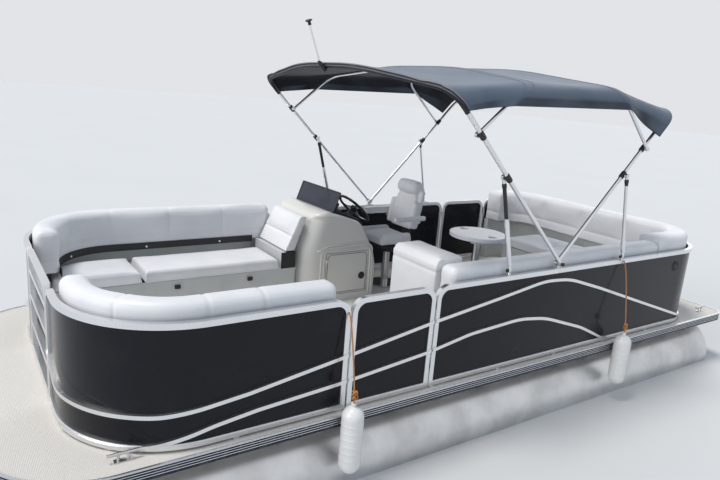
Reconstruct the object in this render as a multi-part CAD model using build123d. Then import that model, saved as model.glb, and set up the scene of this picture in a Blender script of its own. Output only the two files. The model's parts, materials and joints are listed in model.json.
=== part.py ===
from build123d import *
import math
import os

# A twenty-foot pontoon boat. X runs forward, Y to port and Z up from the floor under the keels.
# Lengths are measured from the bimini hinge; the written parts are moved so that X = 0 is amidships.
hingeToMidships = 132.42

# Tubes and frame
tubeDia = 610
tubeAft = -2420
tubeShoulder = 2560
noseLength = 880
noseTipDia = 120
noseRise = 205
keelHeight = 22
keelWidth = 36
riserHeight = 26
riserWidth = 150
crossHeight = 76
crossWidth = 38
crossWall = 5
crossPitch = 406
crossInset = 60

# Deck
deckThick = 20
deckFront = 3555
deckAft = -2550
deckHalf = 1235
tubeSpread = deckHalf - tubeDia / 2
bowRadius = 560
sternRadius = 100
trimThick = 12
trimHeight = 62
trimLip = 6
grooveHeights = (-52, -38, -24, -10)
grooveHigh = 8
grooveDeep = 2

# Fence
fenceInset = 39
fenceHalf = deckHalf - fenceInset
fenceFront = 3181
fenceAft = -2180
fenceBowRadius = 616
fenceSternRadius = 480
railSize = 32
fenceGap = 12
fenceTop = 680
panelThick = 4
cornerRadius = 92
footPitch = 560
gateGap = 12
gateSetback = 86
portGateFront = 1750
portGateAft = 1116
aftGateFront = -976
aftGateAft = -1620
gateRailShares = (0, 0.27, 0.56, 0.82)
knuckleDia = 16
hingePinDia = 8
hingeRun = 0.1
knuckleLength = 26
leafThick = 3
leafLength = 30
accentHalf = 11
accentProud = 8
accentBend = fenceHalf - 476

# Lounges
seatClear = 14
bolsterThick = 160
bolsterFoot = 465
bolsterTop = 770
bolsterRound = 58
bolsterEndRound = 50
sternTop = 812
sternThick = 210
sternCushionFront = -1372
baseTop = 335
baseWall = 14
shelfThick = 14
cushionThick = 92
cushionRound = 22
cushionLip = 12
cushionShort = 90
lidRecess = 95
lidGap = 8
lidAxisBack = 8
lidAxisUp = 8
lidKnuckleDia = 12
lidPinDia = 5
lidKnuckleLength = 50
backWall = 60
bowSeatDeep = 680
seatInner = fenceHalf - railSize - seatClear - bowSeatDeep
bowGateHalf = seatInner - gateSetback
aftSeatDeep = 650
aftSeatInner = fenceHalf - railSize - seatClear - aftSeatDeep
portLoungeAft = 1800
starLoungeAft = 1205
endRestFront = 1321
endRestFoot = 472
endRestThick = 100
endRestLean = 140
endRestBack = 211
endRestTop = 774
endRestInset = 0
restMountLength = 130
restMountAhead = 25
starLidAft = 1362
bowLidFront = 2440
armFront = 965
armLength = 250
sternSeatDepth = 540
sternSeatEnd = -500
aftLidLength = 900
armTop = 782
armPadDia = 92
armPadInset = 6

# Helm
consoleFront = 1195
consoleAft = 400
consoleCorner = 190
consoleGap = 24
consoleWide = 710
consoleOuter = -(fenceHalf - railSize - consoleGap)
consoleInner = consoleOuter + consoleWide
consoleWall = 12
consoleTop = 800
# Distance behind the front foot and height above the deck, then distance ahead of the aft foot and height
consoleNose = ((0, 0), (0, 430), (95, 730), (140, 775), (260, consoleTop))
consoleSlope = ((430, 772), (225, 705), (165, 655), (30, 420), (0, 300), (0, 0))
doorFoot = 60
doorTop = 440
doorAft = 500
doorFront = 940
doorGap = 5
doorHingeHeights = (110, 330)
screenThick = 6
screenHeight = 165
screenFoot = 885
screenLean = 60
screenInset = 30
wheelDia = 360
wheelGrip = 26
wheelUp = 742
wheelX = 455
wheelY = -785
columnRake = 46
columnDia = 54
columnGap = 34
steerShaftDia = 18
dashThick = 14
dashSetback = 24
dashInset = 45
dashLeans = (12, 11, 5)
chairX = 100
chairY = -700
chairSeatUp = 430
chairSeatThick = 120
softGap = 0.3
chairTop = 1040
chairHalf = 215
chairPostDia = 72
chairHubDia = 110
armPadWide = 50
armPadUp = 655

# Table
tableX = -350
tableY = 40
tableUp = 650
tableDia = 510
tableThick = 36
pedestalDia = 70
tableHubDia = 120
tableHubDeep = 60
cupDia = 82
cupDeep = 24
turnGap = 0.3

# Bimini
hingeUp = 722
bowDia = 28
strutDia = 24
outerPlaneOut = 17
outerPlane = fenceHalf + outerPlaneOut
planeGap = 37
innerPlane = outerPlane - planeGap
cheekThick = 8
hingeBoltDia = 10
jointPinDia = 8
eyeExtra = 8
eyeInset = 1.5
slideLength = 44
strutFootUp = 30
strutPadGap = 8.5
boltRun = 0.1
frontAngle = 43.5
rearAngle = 134.3
frontReach = 1632
rearReach = 1530
frontJointDown = 352
frontJoint = frontReach - frontJointDown
rearJointDown = 380
rearJoint = rearReach - rearJointDown
frontStrutAt = 905
rearStrutAt = 870
frontStrutFoot = 480
rearStrutFoot = -740
frontSecondReach = 480
rearSecondReach = 590
frontSecondAngle = 140
rearSecondAngle = 42
crown = 160
crownShare = 0.3
crownRadius = 2400
bowCorner = 160
canvasThick = 5
frontDrop = 170
frontSecondDrop = 215
rearSecondDrop = 200
rearDrop = 265
canvasOut = 25
canvasHalf = outerPlane + canvasOut
canvasLift = 21.7

# Outboard and ladder
podFront = -1900
podBottom = 250
podHalf = 300
transomX = -2860
transomUp = -25
transomLean = 60
tiltUp = 34
tiltBack = 20
tiltPinDia = 22
restTilt = 62
clampY = 90
clampThick = 40
swivelBack = 80
swivelDia = 56
kingpinDia = 20
cowlFront = 74
cowlUnder = 38
cowlLong = 450
cowlHigh = 460
cowlHalf = 170
cowlTaper = 34
cowlFall = 60
cowlTuck = 40
cowlEdge = 20
propDia = 300
propBack = 480
hubHalf = 44
propShaftDia = 20
propNutDia = 34
propUp = -730
ladderY = 800
ladderHalf = 160
ladderRise = 520
ladderTubeDia = 26
ladderSteps = 4
ladderStandOff = 24
ladderPinDia = 12

# Deck fittings
cleatLength = 150
cleatDia = 16
cleatUp = 42
poleDia = 16
poleTip = (1470, 0, 2250)
poleHeadDia = 34
fenderDia = 130
fenderLength = 420
fenderTop = 90
fenderOff = 1
fenderNeck = 20
secondFenderX = -800
lineDia = 9

deckTop = keelHeight + tubeDia + riserHeight + crossHeight + deckThick
deckUnder = deckTop - deckThick
frameUnder = deckUnder - crossHeight

parts = {}


def up(height):
    """A height above the deck, taken from the floor."""
    return deckTop + height


def keep(node, *shapes):
    for shape in shapes:
        parts.setdefault(node, []).extend(shape.solids())


def box(x0, x1, y0, y1, z0, z1):
    centre = Pos((x0 + x1) / 2, (y0 + y1) / 2, (z0 + z1) / 2)
    return centre * Box(abs(x1 - x0), abs(y1 - y0), abs(z1 - z0))


def rod(start, end, diameter):
    axis = Plane(start, z_dir=Vector(*end) - Vector(*start))
    return axis * extrude(Circle(diameter / 2), (Vector(*end) - Vector(*start)).length)


def pipe(points, radii, diameter):
    """Round tube along straight runs joined by arcs."""
    path = FilletPolyline(*points, radius=radii)
    return sweep(Plane(path @ 0, z_dir=path % 0) * Circle(diameter / 2), path=path)


def plate(outline, z0, z1):
    return Pos(0, 0, z0) * extrude(outline, z1 - z0)


def slab(profile, y0, y1):
    """Side profile, as (x, z) points, made solid from y0 down to y1."""
    face = Plane.XZ * make_face(Polyline(*profile, close=True).edges())
    return Pos(0, y0, 0) * extrude(face, y0 - y1, dir=(0, -1, 0))


def roundedSlab(profile, radii, y0, y1):
    """The same with a radius at each corner."""
    face = Plane.XZ * outlined(profile, radii)
    return Pos(0, y0, 0) * extrude(face, y0 - y1, dir=(0, -1, 0))


def outlined(points, radii):
    """Closed plan face whose corners each have a radius."""
    return make_face(FilletPolyline(*points, close=True, radius=radii).edges())


def mirrored(shape):
    return mirror(shape, about=Plane.XZ)


def joined(shapes):
    """Fuses small fittings to the solid that carries them."""
    result = shapes[0]
    for shape in shapes[1:]:
        result = result + shape
    return result


def ribbon(points, half, radius):
    """Face of an even width that follows a line of gentle bends."""
    upper = FilletPolyline(*[(x, z + half) for x, z in points], radius=radius)
    lower = FilletPolyline(*[(x, z - half) for x, z in points], radius=radius)
    ends = [Line(upper @ 0, lower @ 0), Line(upper @ 1, lower @ 1)]
    return make_face(upper.edges() + lower.edges() + ends)


def topEdges(solid):
    highest = solid.bounding_box().max.Z
    return [edge for edge in solid.edges() if edge.bounding_box().min.Z > highest - 0.01]


def softEdges(solid, radius):
    return fillet(topEdges(solid), radius)


# Tubes with their keels and risers, the cross members and the deck
def pontoons():
    centreUp = keelHeight + tubeDia / 2
    body = rod((tubeAft, tubeSpread, centreUp), (tubeShoulder, tubeSpread, centreUp), tubeDia)
    # Share of the nose's length, share of the tube's diameter, share of the rise
    noseStations = ((0, 1, 0), (0.45, 0.86, 0.22), (0.8, 0.55, 0.65), (1, noseTipDia / tubeDia, 1))
    rings = []
    for along, size, rise in noseStations:
        place = Pos(tubeShoulder + noseLength * along, tubeSpread, centreUp + noseRise * rise)
        rings.append(place * Rot(0, 90, 0) * Circle(tubeDia * size / 2))
    tube = body + loft(rings, ruled=True)
    keel = box(tubeAft + 60, tubeShoulder, tubeSpread - keelWidth / 2, tubeSpread + keelWidth / 2,
               0, keelHeight + keelWidth)
    riser = box(tubeAft + 40, tubeShoulder + 260, tubeSpread - riserWidth / 2, tubeSpread + riserWidth / 2,
                centreUp + tubeDia / 3, frameUnder)
    port = tube + keel + riser
    keep("pontoon_port", port)
    keep("pontoon_starboard", mirrored(port))


def crossMembers():
    channel = Rectangle(crossWidth, crossHeight)
    channel -= Pos(crossWall, 0) * Rectangle(crossWidth, crossHeight - 2 * crossWall)
    first = deckAft + 120
    count = int((deckFront - 260 - first) // crossPitch) + 1
    for index in range(count):
        x = first + index * crossPitch
        intoBow = max(0, x + crossWidth - deckFront + bowRadius)
        halfLength = deckHalf - bowRadius + math.sqrt(bowRadius ** 2 - intoBow ** 2) - crossInset
        place = Pos(x, halfLength, frameUnder + crossHeight / 2) * Rot(90, 0, 0)
        keep("cross_members", place * extrude(channel, 2 * halfLength))


def deckOutline(grow):
    half = deckHalf + grow
    aft = deckAft - grow
    front = deckFront + grow
    corners = ((aft, -half), (front, -half), (front, half), (aft, half))
    return outlined(corners, [sternRadius + grow, bowRadius + grow, bowRadius + grow, sternRadius + grow])


def deck():
    keep("deck", plate(deckOutline(0), deckUnder, deckTop))
    low = up(-trimHeight)
    high = up(trimLip)
    trim = plate(deckOutline(trimThick), low, high) - plate(deckOutline(0), low, high)
    for height in grooveHeights:
        groove = plate(deckOutline(trimThick + 1), up(height), up(height + grooveHigh))
        trim -= groove - plate(deckOutline(trimThick - grooveDeep), up(height), up(height + grooveHigh))
    keep("deck_trim", trim)


# Fence: each section runs along a plan path with the cockpit on its left
def direction(first, second):
    return (Vector(*second) - Vector(*first)).normalized()


def drawnIn(points, amount):
    """The same path with both ends drawn in."""
    start = Vector(*points[0]) + direction(points[0], points[1]) * amount
    end = Vector(*points[-1]) + direction(points[-1], points[-2]) * amount
    return ((start.X, start.Y),) + tuple(points[1:-1]) + ((end.X, end.Y),)


def movedLeft(points, depth):
    """Path of square turns, moved to its left."""
    moved = []
    for index, point in enumerate(points):
        runs = []
        if index > 0:
            runs.append(direction(points[index - 1], point))
        if index < len(points) - 1:
            runs.append(direction(point, points[index + 1]))
        shift = Vector(-runs[0].Y, runs[0].X)
        if len(runs) == 2:
            shift = shift + Vector(-runs[1].Y, runs[1].X)
        moved.append((point[0] + shift.X * depth, point[1] + shift.Y * depth))
    return tuple(moved)


def planPath(points, radius):
    if len(points) == 2:
        return Line(*points)
    return FilletPolyline(*points, radius=radius)


def band(points, radius, depth, thick):
    """Plan band of a thickness, set in from a path."""
    path = Wire(planPath(movedLeft(points, depth), radius - depth).edges())
    return make_face(path.offset_2d(thick, side=Side.LEFT).edges())


def roundTopCorner(wall, point, reach, height, radius):
    """Rounds the upper corner of a wall's end."""
    for edge in wall.edges():
        middle = edge.center()
        if abs(middle.Z - height) < 1 and edge.length < reach and (Vector(middle.X, middle.Y) -
                                                                  Vector(*point)).length < reach:
            return fillet([edge], radius)
    return wall


def accentRails(side):
    """Space of the two trim rails that rise and fall along one side and round the bow corner."""
    # Position along the boat and height above the deck
    upperLine = ((3300, 197), (2800, 197), (2350, 247), (1790, 338), (1150, 448), (560, 535), (120, 605),
                 (-150, 590), (-550, 472), (-1150, 278), (-2300, -90))
    lowerLine = ((3300, 20), (2880, 24), (2560, 106), (2300, 141), (1790, 182), (1150, 254), (800, 318),
                 (330, 352), (60, 318), (-380, 178), (-900, -60))
    # Position across the bow and height above the deck
    frontLine = ((bowGateHalf - 24, 307), (bowGateHalf + 266, 201), (bowGateHalf + 516, 193))
    rails = []
    for line in (upperLine, lowerLine):
        raised = [(x, up(z)) for x, z in line]
        sideSpace = box(fenceAft - 100, fenceFront + 100, accentBend, fenceHalf + 100, 0, up(fenceTop))
        strip = extrude(Plane.XZ * ribbon(raised, accentHalf, 900), fenceHalf + 100, dir=(0, 1, 0))
        rails.append(strip & sideSpace)
    raised = [(y, up(z)) for y, z in frontLine]
    front = extrude(Plane.YZ * ribbon(raised, accentHalf, 300), fenceFront + 100, dir=(1, 0, 0))
    rails.append(front & box(fenceFront - 100, fenceFront + 100, 0, accentBend, 0, up(fenceTop)))
    return rails if side > 0 else [mirrored(rail) for rail in rails]


def fenceSection(frameNode, panelNode, points, radius, roundStart=True, roundEnd=True, feet=True):
    """Square-tube frame with rounded upper corners around a sheet panel, and the trim rails on it."""
    low = up(fenceGap)
    high = up(fenceTop)
    frame = plate(band(points, radius, 0, railSize), low, high)
    inner = drawnIn(points, railSize)
    window = plate(band(inner, radius, -1, railSize + 2), low + railSize, high - railSize)
    innerRadius = cornerRadius - railSize
    for isRound, end in ((roundStart, 0), (roundEnd, -1)):
        if isRound:
            frame = roundTopCorner(frame, points[end], railSize + 4, high, cornerRadius)
            window = roundTopCorner(window, inner[end], railSize + 6, high - railSize, innerRadius)
    sheet = plate(band(points, radius, railSize / 2 - panelThick, panelThick), low, high)
    frame = frame - window
    side = 1 if sum(y for x, y in points) > 0 else -1
    proud = plate(band(drawnIn(points, 1), radius, -accentProud, accentProud), low, high)
    backing = window & plate(band(points, radius, 0, railSize / 2 - panelThick), low, high)
    for rail in accentRails(side):
        for layer in (proud, backing):
            strip = layer & rail
            if strip is not None and strip.solids():
                frame = frame + strip
    if feet:
        frame = frame + fenceFeet(points, radius)
    keep(frameNode, frame)
    keep(panelNode, sheet & window)


def fenceFeet(points, radius):
    """Short spacers under the bottom rail."""
    path = planPath(movedLeft(points, railSize / 2), radius - railSize / 2)
    count = max(2, int(path.length // footPitch) + 1)
    feet = None
    for index in range(count):
        along = (railSize + index * (path.length - 2 * railSize) / (count - 1)) / path.length
        spot = path @ along
        turn = math.degrees(math.atan2((path % along).Y, (path % along).X))
        place = Pos(spot.X, spot.Y, up(fenceGap / 2)) * Rot(0, 0, turn)
        foot = place * Box(railSize, railSize - 4, fenceGap)
        feet = foot if feet is None else feet + foot
    return feet


def hinges(axis, inward, towardPost, heights):
    """Butt hinges on the fence's inner face: what stays on the post and what turns with the gate."""
    x, y = axis
    across = Vector(*inward)
    along = Vector(*towardPost)
    fixed = []
    moving = []
    for height in heights:
        for parity, group in ((0, fixed), (1, moving)):
            z0 = up(height) + parity * (knuckleLength + hingeRun)
            barrel = rod((x, y, z0), (x, y, z0 + knuckleLength), knuckleDia)
            if parity:
                barrel -= rod((x, y, z0 - 1), (x, y, z0 + knuckleLength + 1), hingePinDia + 2 * hingeRun)
            else:
                barrel += rod((x, y, z0), (x, y, z0 + 2 * knuckleLength), hingePinDia)
            reach = along * (leafLength * (1 if parity == 0 else -1))
            face = -across * (knuckleDia / 2)
            start = Vector(x, y) + face
            end = start + reach + across * leafThick
            leaf = box(start.X, end.X, start.Y, end.Y, z0, z0 + knuckleLength)
            if parity:
                leaf -= rod((x, y, z0 - 1), (x, y, z0 + knuckleLength + 1), hingePinDia + 2 * hingeRun)
            group.append(barrel + leaf)
    return fixed, moving


portBow = ((fenceFront, bowGateHalf), (fenceFront, fenceHalf), (portGateFront, fenceHalf))
portAft = ((portGateAft, fenceHalf), (fenceAft, fenceHalf), (fenceAft, gateGap / 2))
starBow = ((portGateAft, -fenceHalf), (fenceFront, -fenceHalf), (fenceFront, -bowGateHalf))
starMid = ((aftGateFront, -fenceHalf), (portGateAft - gateGap, -fenceHalf))
starAft = ((fenceAft, -gateGap / 2), (fenceAft, -fenceHalf), (aftGateAft, -fenceHalf))
hingeLine = fenceHalf - railSize - knuckleDia / 2
hingeHeights = (110, 520)


def bowGate():
    """Open gate of four rails between two stiles, hinged on the port post."""
    half = bowGateHalf - gateGap
    low = up(fenceGap)
    run = fenceTop - fenceGap - railSize
    gate = box(fenceFront - railSize, fenceFront, -half, half, low, up(fenceTop))
    for below, above in zip(gateRailShares, gateRailShares[1:] + (1,)):
        gate -= box(fenceFront - 2 * railSize, fenceFront + railSize, railSize - half, half - railSize,
                    low + below * run + railSize, low + above * run)
    axis = (fenceFront - railSize - knuckleDia / 2, bowGateHalf - gateGap / 2)
    fixed, moving = hinges(axis, (-1, 0), (0, 1), hingeHeights)
    keep("bow_gate", joined([gate] + moving))
    return fixed


def sideGate(node, aft, front, side, hingeX, postward):
    x0 = aft + gateGap
    x1 = front - gateGap
    y = side * fenceHalf
    points = ((x1, y), (x0, y)) if side > 0 else ((x0, y), (x1, y))
    fenceSection(node + "_frame", node + "_panel", points, fenceBowRadius, feet=False)
    fixed, moving = hinges((hingeX, side * hingeLine), (0, -side), (postward, 0), hingeHeights)
    parts[node + "_frame"] = [joined(parts[node + "_frame"] + moving)]
    return fixed


def fence():
    fenceSection("port_fence_frames", "fence_panels", portBow, fenceBowRadius)
    fenceSection("port_fence_frames", "fence_panels", portAft, fenceSternRadius, roundEnd=False)
    fenceSection("starboard_fence_frames", "fence_panels", starBow, fenceBowRadius)
    fenceSection("starboard_fence_frames", "fence_panels", starMid, fenceBowRadius)
    fenceSection("starboard_fence_frames", "fence_panels", starAft, fenceSternRadius, roundStart=False)
    bowLeaves = bowGate()
    portLeaves = sideGate("port_gate", portGateAft, portGateFront, 1, portGateAft + gateGap / 2, -1)
    aftLeaves = sideGate("aft_gate", aftGateAft, aftGateFront, -1, aftGateFront - gateGap / 2, 1)
    portFrames = parts["port_fence_frames"]
    starFrames = parts["starboard_fence_frames"]
    portFrames[0] = joined([portFrames[0]] + bowLeaves)
    portFrames[1] = joined([portFrames[1]] + portLeaves)
    starFrames[1] = joined([starFrames[1]] + aftLeaves)


# Lounges: hollow bases, hinged seat cushions and upright bolsters inside the fence
def hollowBase(points, radii, back):
    """Seat base with storage inside, a shelf behind the lid and a low wall behind that."""
    outer = outlined(points, radii)
    inner = make_face(outer.face().outer_wire().offset_2d(-baseWall).edges())
    return plate(outer, up(0), up(baseTop)) - plate(inner, up(baseWall), up(baseTop) + 1) + back


def roundEnded(solid, ends, radius):
    """Rounds the upright edges of a bolster's open ends."""
    chosen = []
    for edge in solid.edges():
        middle = edge.center()
        if abs(edge.bounding_box().size.Z - edge.length) < 0.01:
            for axis, place in ends:
                if abs((middle.X if axis == "X" else middle.Y) - place) < 0.01:
                    chosen.append(edge)
    return fillet(chosen, radius)


def lidHinges(along, across, height, spots, alongX):
    """Knuckles of a seat lid: along is the axis's place, spots are the middles of the hinges on it."""
    fixed = []
    moving = []
    low = up(baseTop)
    for spot in spots:
        for part, group in ((-1, fixed), (0, moving), (1, fixed)):
            start = spot + (part - 0.5) * lidKnuckleLength + 0.5
            end = start + lidKnuckleLength - 1
            if alongX:
                ends = ((start, across, height), (end, across, height))
            else:
                ends = ((across, start, height), (across, end, height))
            barrel = rod(*ends, lidKnuckleDia)
            reach = along * (1 if group is moving else -1)
            leafEnds = sorted((across, across + reach * (lidAxisBack + 6)))
            leafLow = low if group is fixed else height - 2
            leafHigh = height if group is fixed else height + 4
            if alongX:
                leaf = box(start, end, *leafEnds, leafLow, leafHigh)
            else:
                leaf = box(*leafEnds, start, end, leafLow, leafHigh)
            knuckle = barrel + leaf
            hole = rod(*ends, lidPinDia + 2 * hingeRun)
            if group is moving:
                knuckle -= hole
            group.append(knuckle)
        length = 1.5 * lidKnuckleLength
        if alongX:
            fixed.append(rod((spot - length, across, height), (spot + length, across, height), lidPinDia))
        else:
            fixed.append(rod((across, spot - length, height), (across, spot + length, height), lidPinDia))
    return fixed, moving


def bowLounge(side, aft, lidNode, lidAft):
    outer = fenceHalf - railSize - seatClear
    front = fenceFront - railSize - seatClear
    radius = fenceBowRadius - railSize - seatClear
    back = outer - bolsterThick
    hingeY = back - lidRecess
    corners = ((aft, seatInner), (front, seatInner), (front, outer), (aft, outer))
    path = ((front, seatInner), (front, outer), (aft, outer))
    wallBehind = plate(band(path, radius, 0, backWall), up(baseTop), up(bolsterFoot))
    shelf = plate(band(path, radius, 0, bolsterThick + lidRecess), up(baseTop - shelfThick), up(baseTop))
    base = hollowBase(corners, [20, 40, radius, 20], wallBehind + shelf)
    bolster = plate(band(path, radius, 0, bolsterThick), up(bolsterFoot), up(bolsterTop))
    bolster = softEdges(roundEnded(bolster, (("X", aft), ("Y", seatInner)), bolsterEndRound), bolsterRound)
    turn = bowLidFront
    inner = seatInner - cushionLip
    low = up(baseTop)
    high = up(baseTop + cushionThick)
    lid = softEdges(box(lidAft, turn, inner, hingeY, low, high), cushionRound)
    spots = (lidAft + 150, turn - 150)
    fixed, moving = lidHinges(-1, hingeY + lidAxisBack, up(baseTop + lidAxisUp), spots, True)
    base = joined([base] + fixed)
    lid = joined([lid] + moving)
    start = turn + lidGap
    end = front - cushionShort
    cornerPlan = outlined(((start, inner), (end, inner), (end, hingeY), (start, hingeY)), [12, 60, 300, 12])
    corner = plate(cornerPlan, low, high)
    turned = (lambda shape: shape) if side > 0 else mirrored
    if side < 0:
        # Plate that carries the end rest's mount
        base += box(aft + 1, lidAft + 40, seatInner + 1, outer - 1, up(baseTop - shelfThick), up(baseTop))
    keep("bow_lounge_bases", turned(base))
    keep("bow_backrests", turned(bolster))
    keep("bow_corner_cushions", turned(softEdges(corner, cushionRound)))
    keep(lidNode, turned(lid))


def endRest():
    """Reclined rest over the aft end of the starboard bow seat, and the mount under it."""
    foot = up(endRestFoot)
    head = up(endRestTop)
    inner = -seatInner - endRestInset
    outer = -fenceHalf + railSize + seatClear + bolsterThick + 6
    profile = ((endRestFront, foot), (endRestFront - endRestThick, foot), (endRestFront - endRestBack, head),
               (endRestFront - endRestLean, head))
    keep("starboard_end_backrest", roundedSlab(profile, [12, 12, 30, 30], inner, outer))
    mountFront = endRestFront + restMountAhead
    mountAft = mountFront - restMountLength
    keep("end_backrest_mount", box(mountAft, mountFront, inner, outer, up(baseTop), foot))


def aftLounge():
    outer = fenceHalf - railSize - seatClear
    aft = fenceAft + railSize + seatClear
    radius = fenceSternRadius - railSize - seatClear
    back = outer - bolsterThick
    hingeY = back - lidRecess
    hingeX = aft + sternThick + lidRecess
    front = hingeX + sternSeatDepth
    corners = ((armFront, aftSeatInner), (armFront, outer), (aft, outer), (aft, sternSeatEnd),
               (front, sternSeatEnd), (front, aftSeatInner))
    path = ((armFront - 4, outer), (aft, outer), (aft, -outer), (aftGateAft - leafLength, -outer))
    sidePath = ((armFront - 4, outer), (sternCushionFront + lidGap, outer))
    sternPath = ((sternCushionFront, outer), (aft, outer), (aft, -outer), (aftGateAft - leafLength, -outer))
    wallBehind = plate(band(path, radius, 0, backWall), up(0), up(bolsterFoot))
    seatPath = ((armFront - armLength, outer), (aft, outer), (aft, sternSeatEnd))
    sternSeatPath = ((sternCushionFront, outer), (aft, outer), (aft, sternSeatEnd))
    shelfUnder = up(baseTop - shelfThick)
    shelf = plate(band(seatPath, radius, 0, bolsterThick + lidRecess), shelfUnder, up(baseTop))
    shelf += plate(band(sternSeatPath, radius, 0, sternThick + lidRecess), shelfUnder, up(baseTop))
    base = hollowBase(corners, [20, 20, radius, 20, 20, 30], wallBehind + shelf)
    bolster = plate(band(sidePath, radius, 0, bolsterThick), up(bolsterFoot), up(bolsterTop))
    bolster = roundEnded(bolster, (("X", armFront - 4),), bolsterEndRound)
    stern = plate(band(sternPath, radius, 0, sternThick), up(bolsterFoot), up(sternTop))
    keep("aft_backrest", softEdges(bolster, bolsterRound))
    keep("stern_backrest", softEdges(stern, bolsterRound))
    armAft = armFront - armLength + 4
    arm = box(armAft, armFront, aftSeatInner, back - 6, up(baseTop), up(armTop - armPadDia / 2))
    pad = rod((armFront - armPadDia / 2 - armPadInset, aftSeatInner + 4, up(armTop - armPadDia / 2)),
              (armFront - armPadDia / 2 - armPadInset, back - 10, up(armTop - armPadDia / 2)), armPadDia)
    cap = box(armAft, armFront - armPadDia / 2 - armPadInset, aftSeatInner + 4, back - 10,
              up(armTop - armPadDia / 2), up(armTop))
    keep("aft_lounge_arm", arm + pad + softEdges(cap, 14))
    inner = aftSeatInner - cushionLip
    low = up(baseTop)
    high = up(baseTop + cushionThick)
    split = armAft - lidGap - aftLidLength
    portLid = softEdges(box(split, armAft - lidGap, inner, hingeY, low, high), cushionRound)
    spots = (split + 150, armAft - lidGap - 150)
    fixed, moving = lidHinges(-1, hingeY + lidAxisBack, up(baseTop + lidAxisUp), spots, True)
    keep("aft_port_seat_lid", joined([portLid] + moving))
    base = joined([base] + fixed)
    sternEnd = sternSeatEnd - cushionLip
    sternLid = softEdges(box(hingeX, front + cushionLip, sternEnd, inner - lidGap, low, high), cushionRound)
    spots = (sternSeatEnd + 150, inner - lidGap - 150)
    fixed, moving = lidHinges(1, hingeX - lidAxisBack, up(baseTop + lidAxisUp), spots, False)
    keep("aft_stern_seat_lid", joined([sternLid] + moving))
    keep("aft_lounge_base", joined([base] + fixed))
    keep("aft_fixed_cushions", softEdges(box(hingeX, front, inner, hingeY, low, high), cushionRound),
         softEdges(box(front + lidGap, split - lidGap, inner, hingeY, low, high), cushionRound))


# Helm
def console():
    y0 = consoleInner
    y1 = consoleOuter
    w = consoleWall
    front = [(consoleFront - back, up(height)) for back, height in consoleNose]
    aft = [(consoleAft + ahead, up(height)) for ahead, height in consoleSlope]
    shape = front + aft
    face = make_face(Polyline(*shape, close=True).edges())
    cavity = Plane.XZ * make_face(face.face().outer_wire().offset_2d(-w, kind=Kind.INTERSECTION).edges())
    corners = [consoleCorner, 30, 30, consoleCorner]
    plan = outlined(((consoleFront, y0), (consoleAft, y0), (consoleAft, y1), (consoleFront, y1)), corners)
    inside = outlined(((consoleFront - w, y0 - w), (consoleAft + w, y0 - w), (consoleAft + w, y1 + w),
                       (consoleFront - w, y1 + w)), [corner - w for corner in corners])
    outer = slab(shape, y0, y1) & plate(plan, up(0), up(consoleTop + 1))
    hollow = Pos(0, y0 - w, 0) * extrude(cavity, y0 - y1 - 2 * w, dir=(0, -1, 0))
    shell = outer - (hollow & plate(inside, up(0), up(consoleTop + 1)))
    shell -= box(doorAft, doorFront, y0 - 2 * w, y0 + w, up(doorFoot), up(doorTop))
    door = box(doorAft + doorGap, doorFront - doorGap, y0 - w, y0,
               up(doorFoot + doorGap), up(doorTop - doorGap))
    fixed, moving = hinges((doorFront - doorGap / 2, y0 + knuckleDia / 2), (0, 1), (1, 0), doorHingeHeights)
    keep("console_shell", joined([shell] + fixed))
    keep("console_door", joined([door] + moving))
    # The dash lies on the slope between the screen and the wheel
    ridge = dashRidge(screenFoot - dashSetback)
    foot = [(consoleAft + ahead, up(height)) for ahead, height in reversed(consoleSlope[:3])]
    lifts = (dashThick / 2, dashThick, 2 * dashThick)
    crest = [(x - lean, z + lift) for (x, z), lean, lift in zip(foot, dashLeans, lifts)]
    crest.append((screenFoot - dashSetback, up(ridge + 2 * dashThick)))
    foot.append((screenFoot - dashSetback, up(ridge)))
    keep("dash_panel", slab(foot + crest[::-1], y0 - dashInset, y1 + dashInset))
    aftFoot = screenFoot - screenThick
    glass = slab(((screenFoot, up(dashRidge(screenFoot))), (aftFoot, up(dashRidge(aftFoot))),
                  (aftFoot - screenLean, up(dashRidge(screenFoot) + screenHeight)),
                  (screenFoot - screenLean, up(dashRidge(screenFoot) + screenHeight))),
                 y0 - screenInset, y1 + screenInset)
    keep("windscreen", glass)


def dashRidge(x):
    """Height of the console's top where the screen stands."""
    (back, high), (ahead, low) = consoleNose[-1], consoleSlope[0]
    start = consoleAft + ahead
    return low + (high - low) * (x - start) / (consoleFront - back - start)


def wheel():
    rise = math.sin(math.radians(columnRake))
    run = math.cos(math.radians(columnRake))
    hub = (wheelX, wheelY, up(wheelUp))
    place = Plane(hub, z_dir=(-run, 0, rise))
    rim = place * Torus(wheelDia / 2 - wheelGrip / 2, wheelGrip / 2)
    spider = place * (Pos(0, 0, -20) * extrude(Circle(38), 40))
    for angle in (90, 210, 330):
        spider += place * (Rot(0, 0, angle) * box(30, wheelDia / 2 - wheelGrip / 2, -14, 14, -5, 5))
    shaft = place * (Pos(0, 0, -columnGap) * extrude(Circle(steerShaftDia / 2), columnGap + 10))
    bore = place * (Pos(0, 0, -columnGap) * extrude(Circle(steerShaftDia / 2 + hingeRun), columnGap + 10))
    keep("steering_wheel", rim + spider - bore)
    column = place * (Pos(0, 0, -columnGap - 300) * extrude(Circle(columnDia / 2), 300)) + shaft
    slope = [(consoleAft + ahead, up(height)) for ahead, height in consoleSlope[:3]]
    knee = up(consoleNose[1][1])
    inside = [(consoleFront, up(consoleTop)), (slope[0][0], slope[0][1] + 2 * dashThick),
              (slope[1][0] - dashLeans[1], slope[1][1] + dashThick),
              (slope[2][0] - dashLeans[0], slope[2][1] + dashThick / 2), slope[2],
              (consoleAft + consoleSlope[3][0], up(consoleSlope[3][1])), (consoleFront, knee)]
    keep("steering_column", column - slab(inside, consoleInner, consoleOuter))


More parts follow.
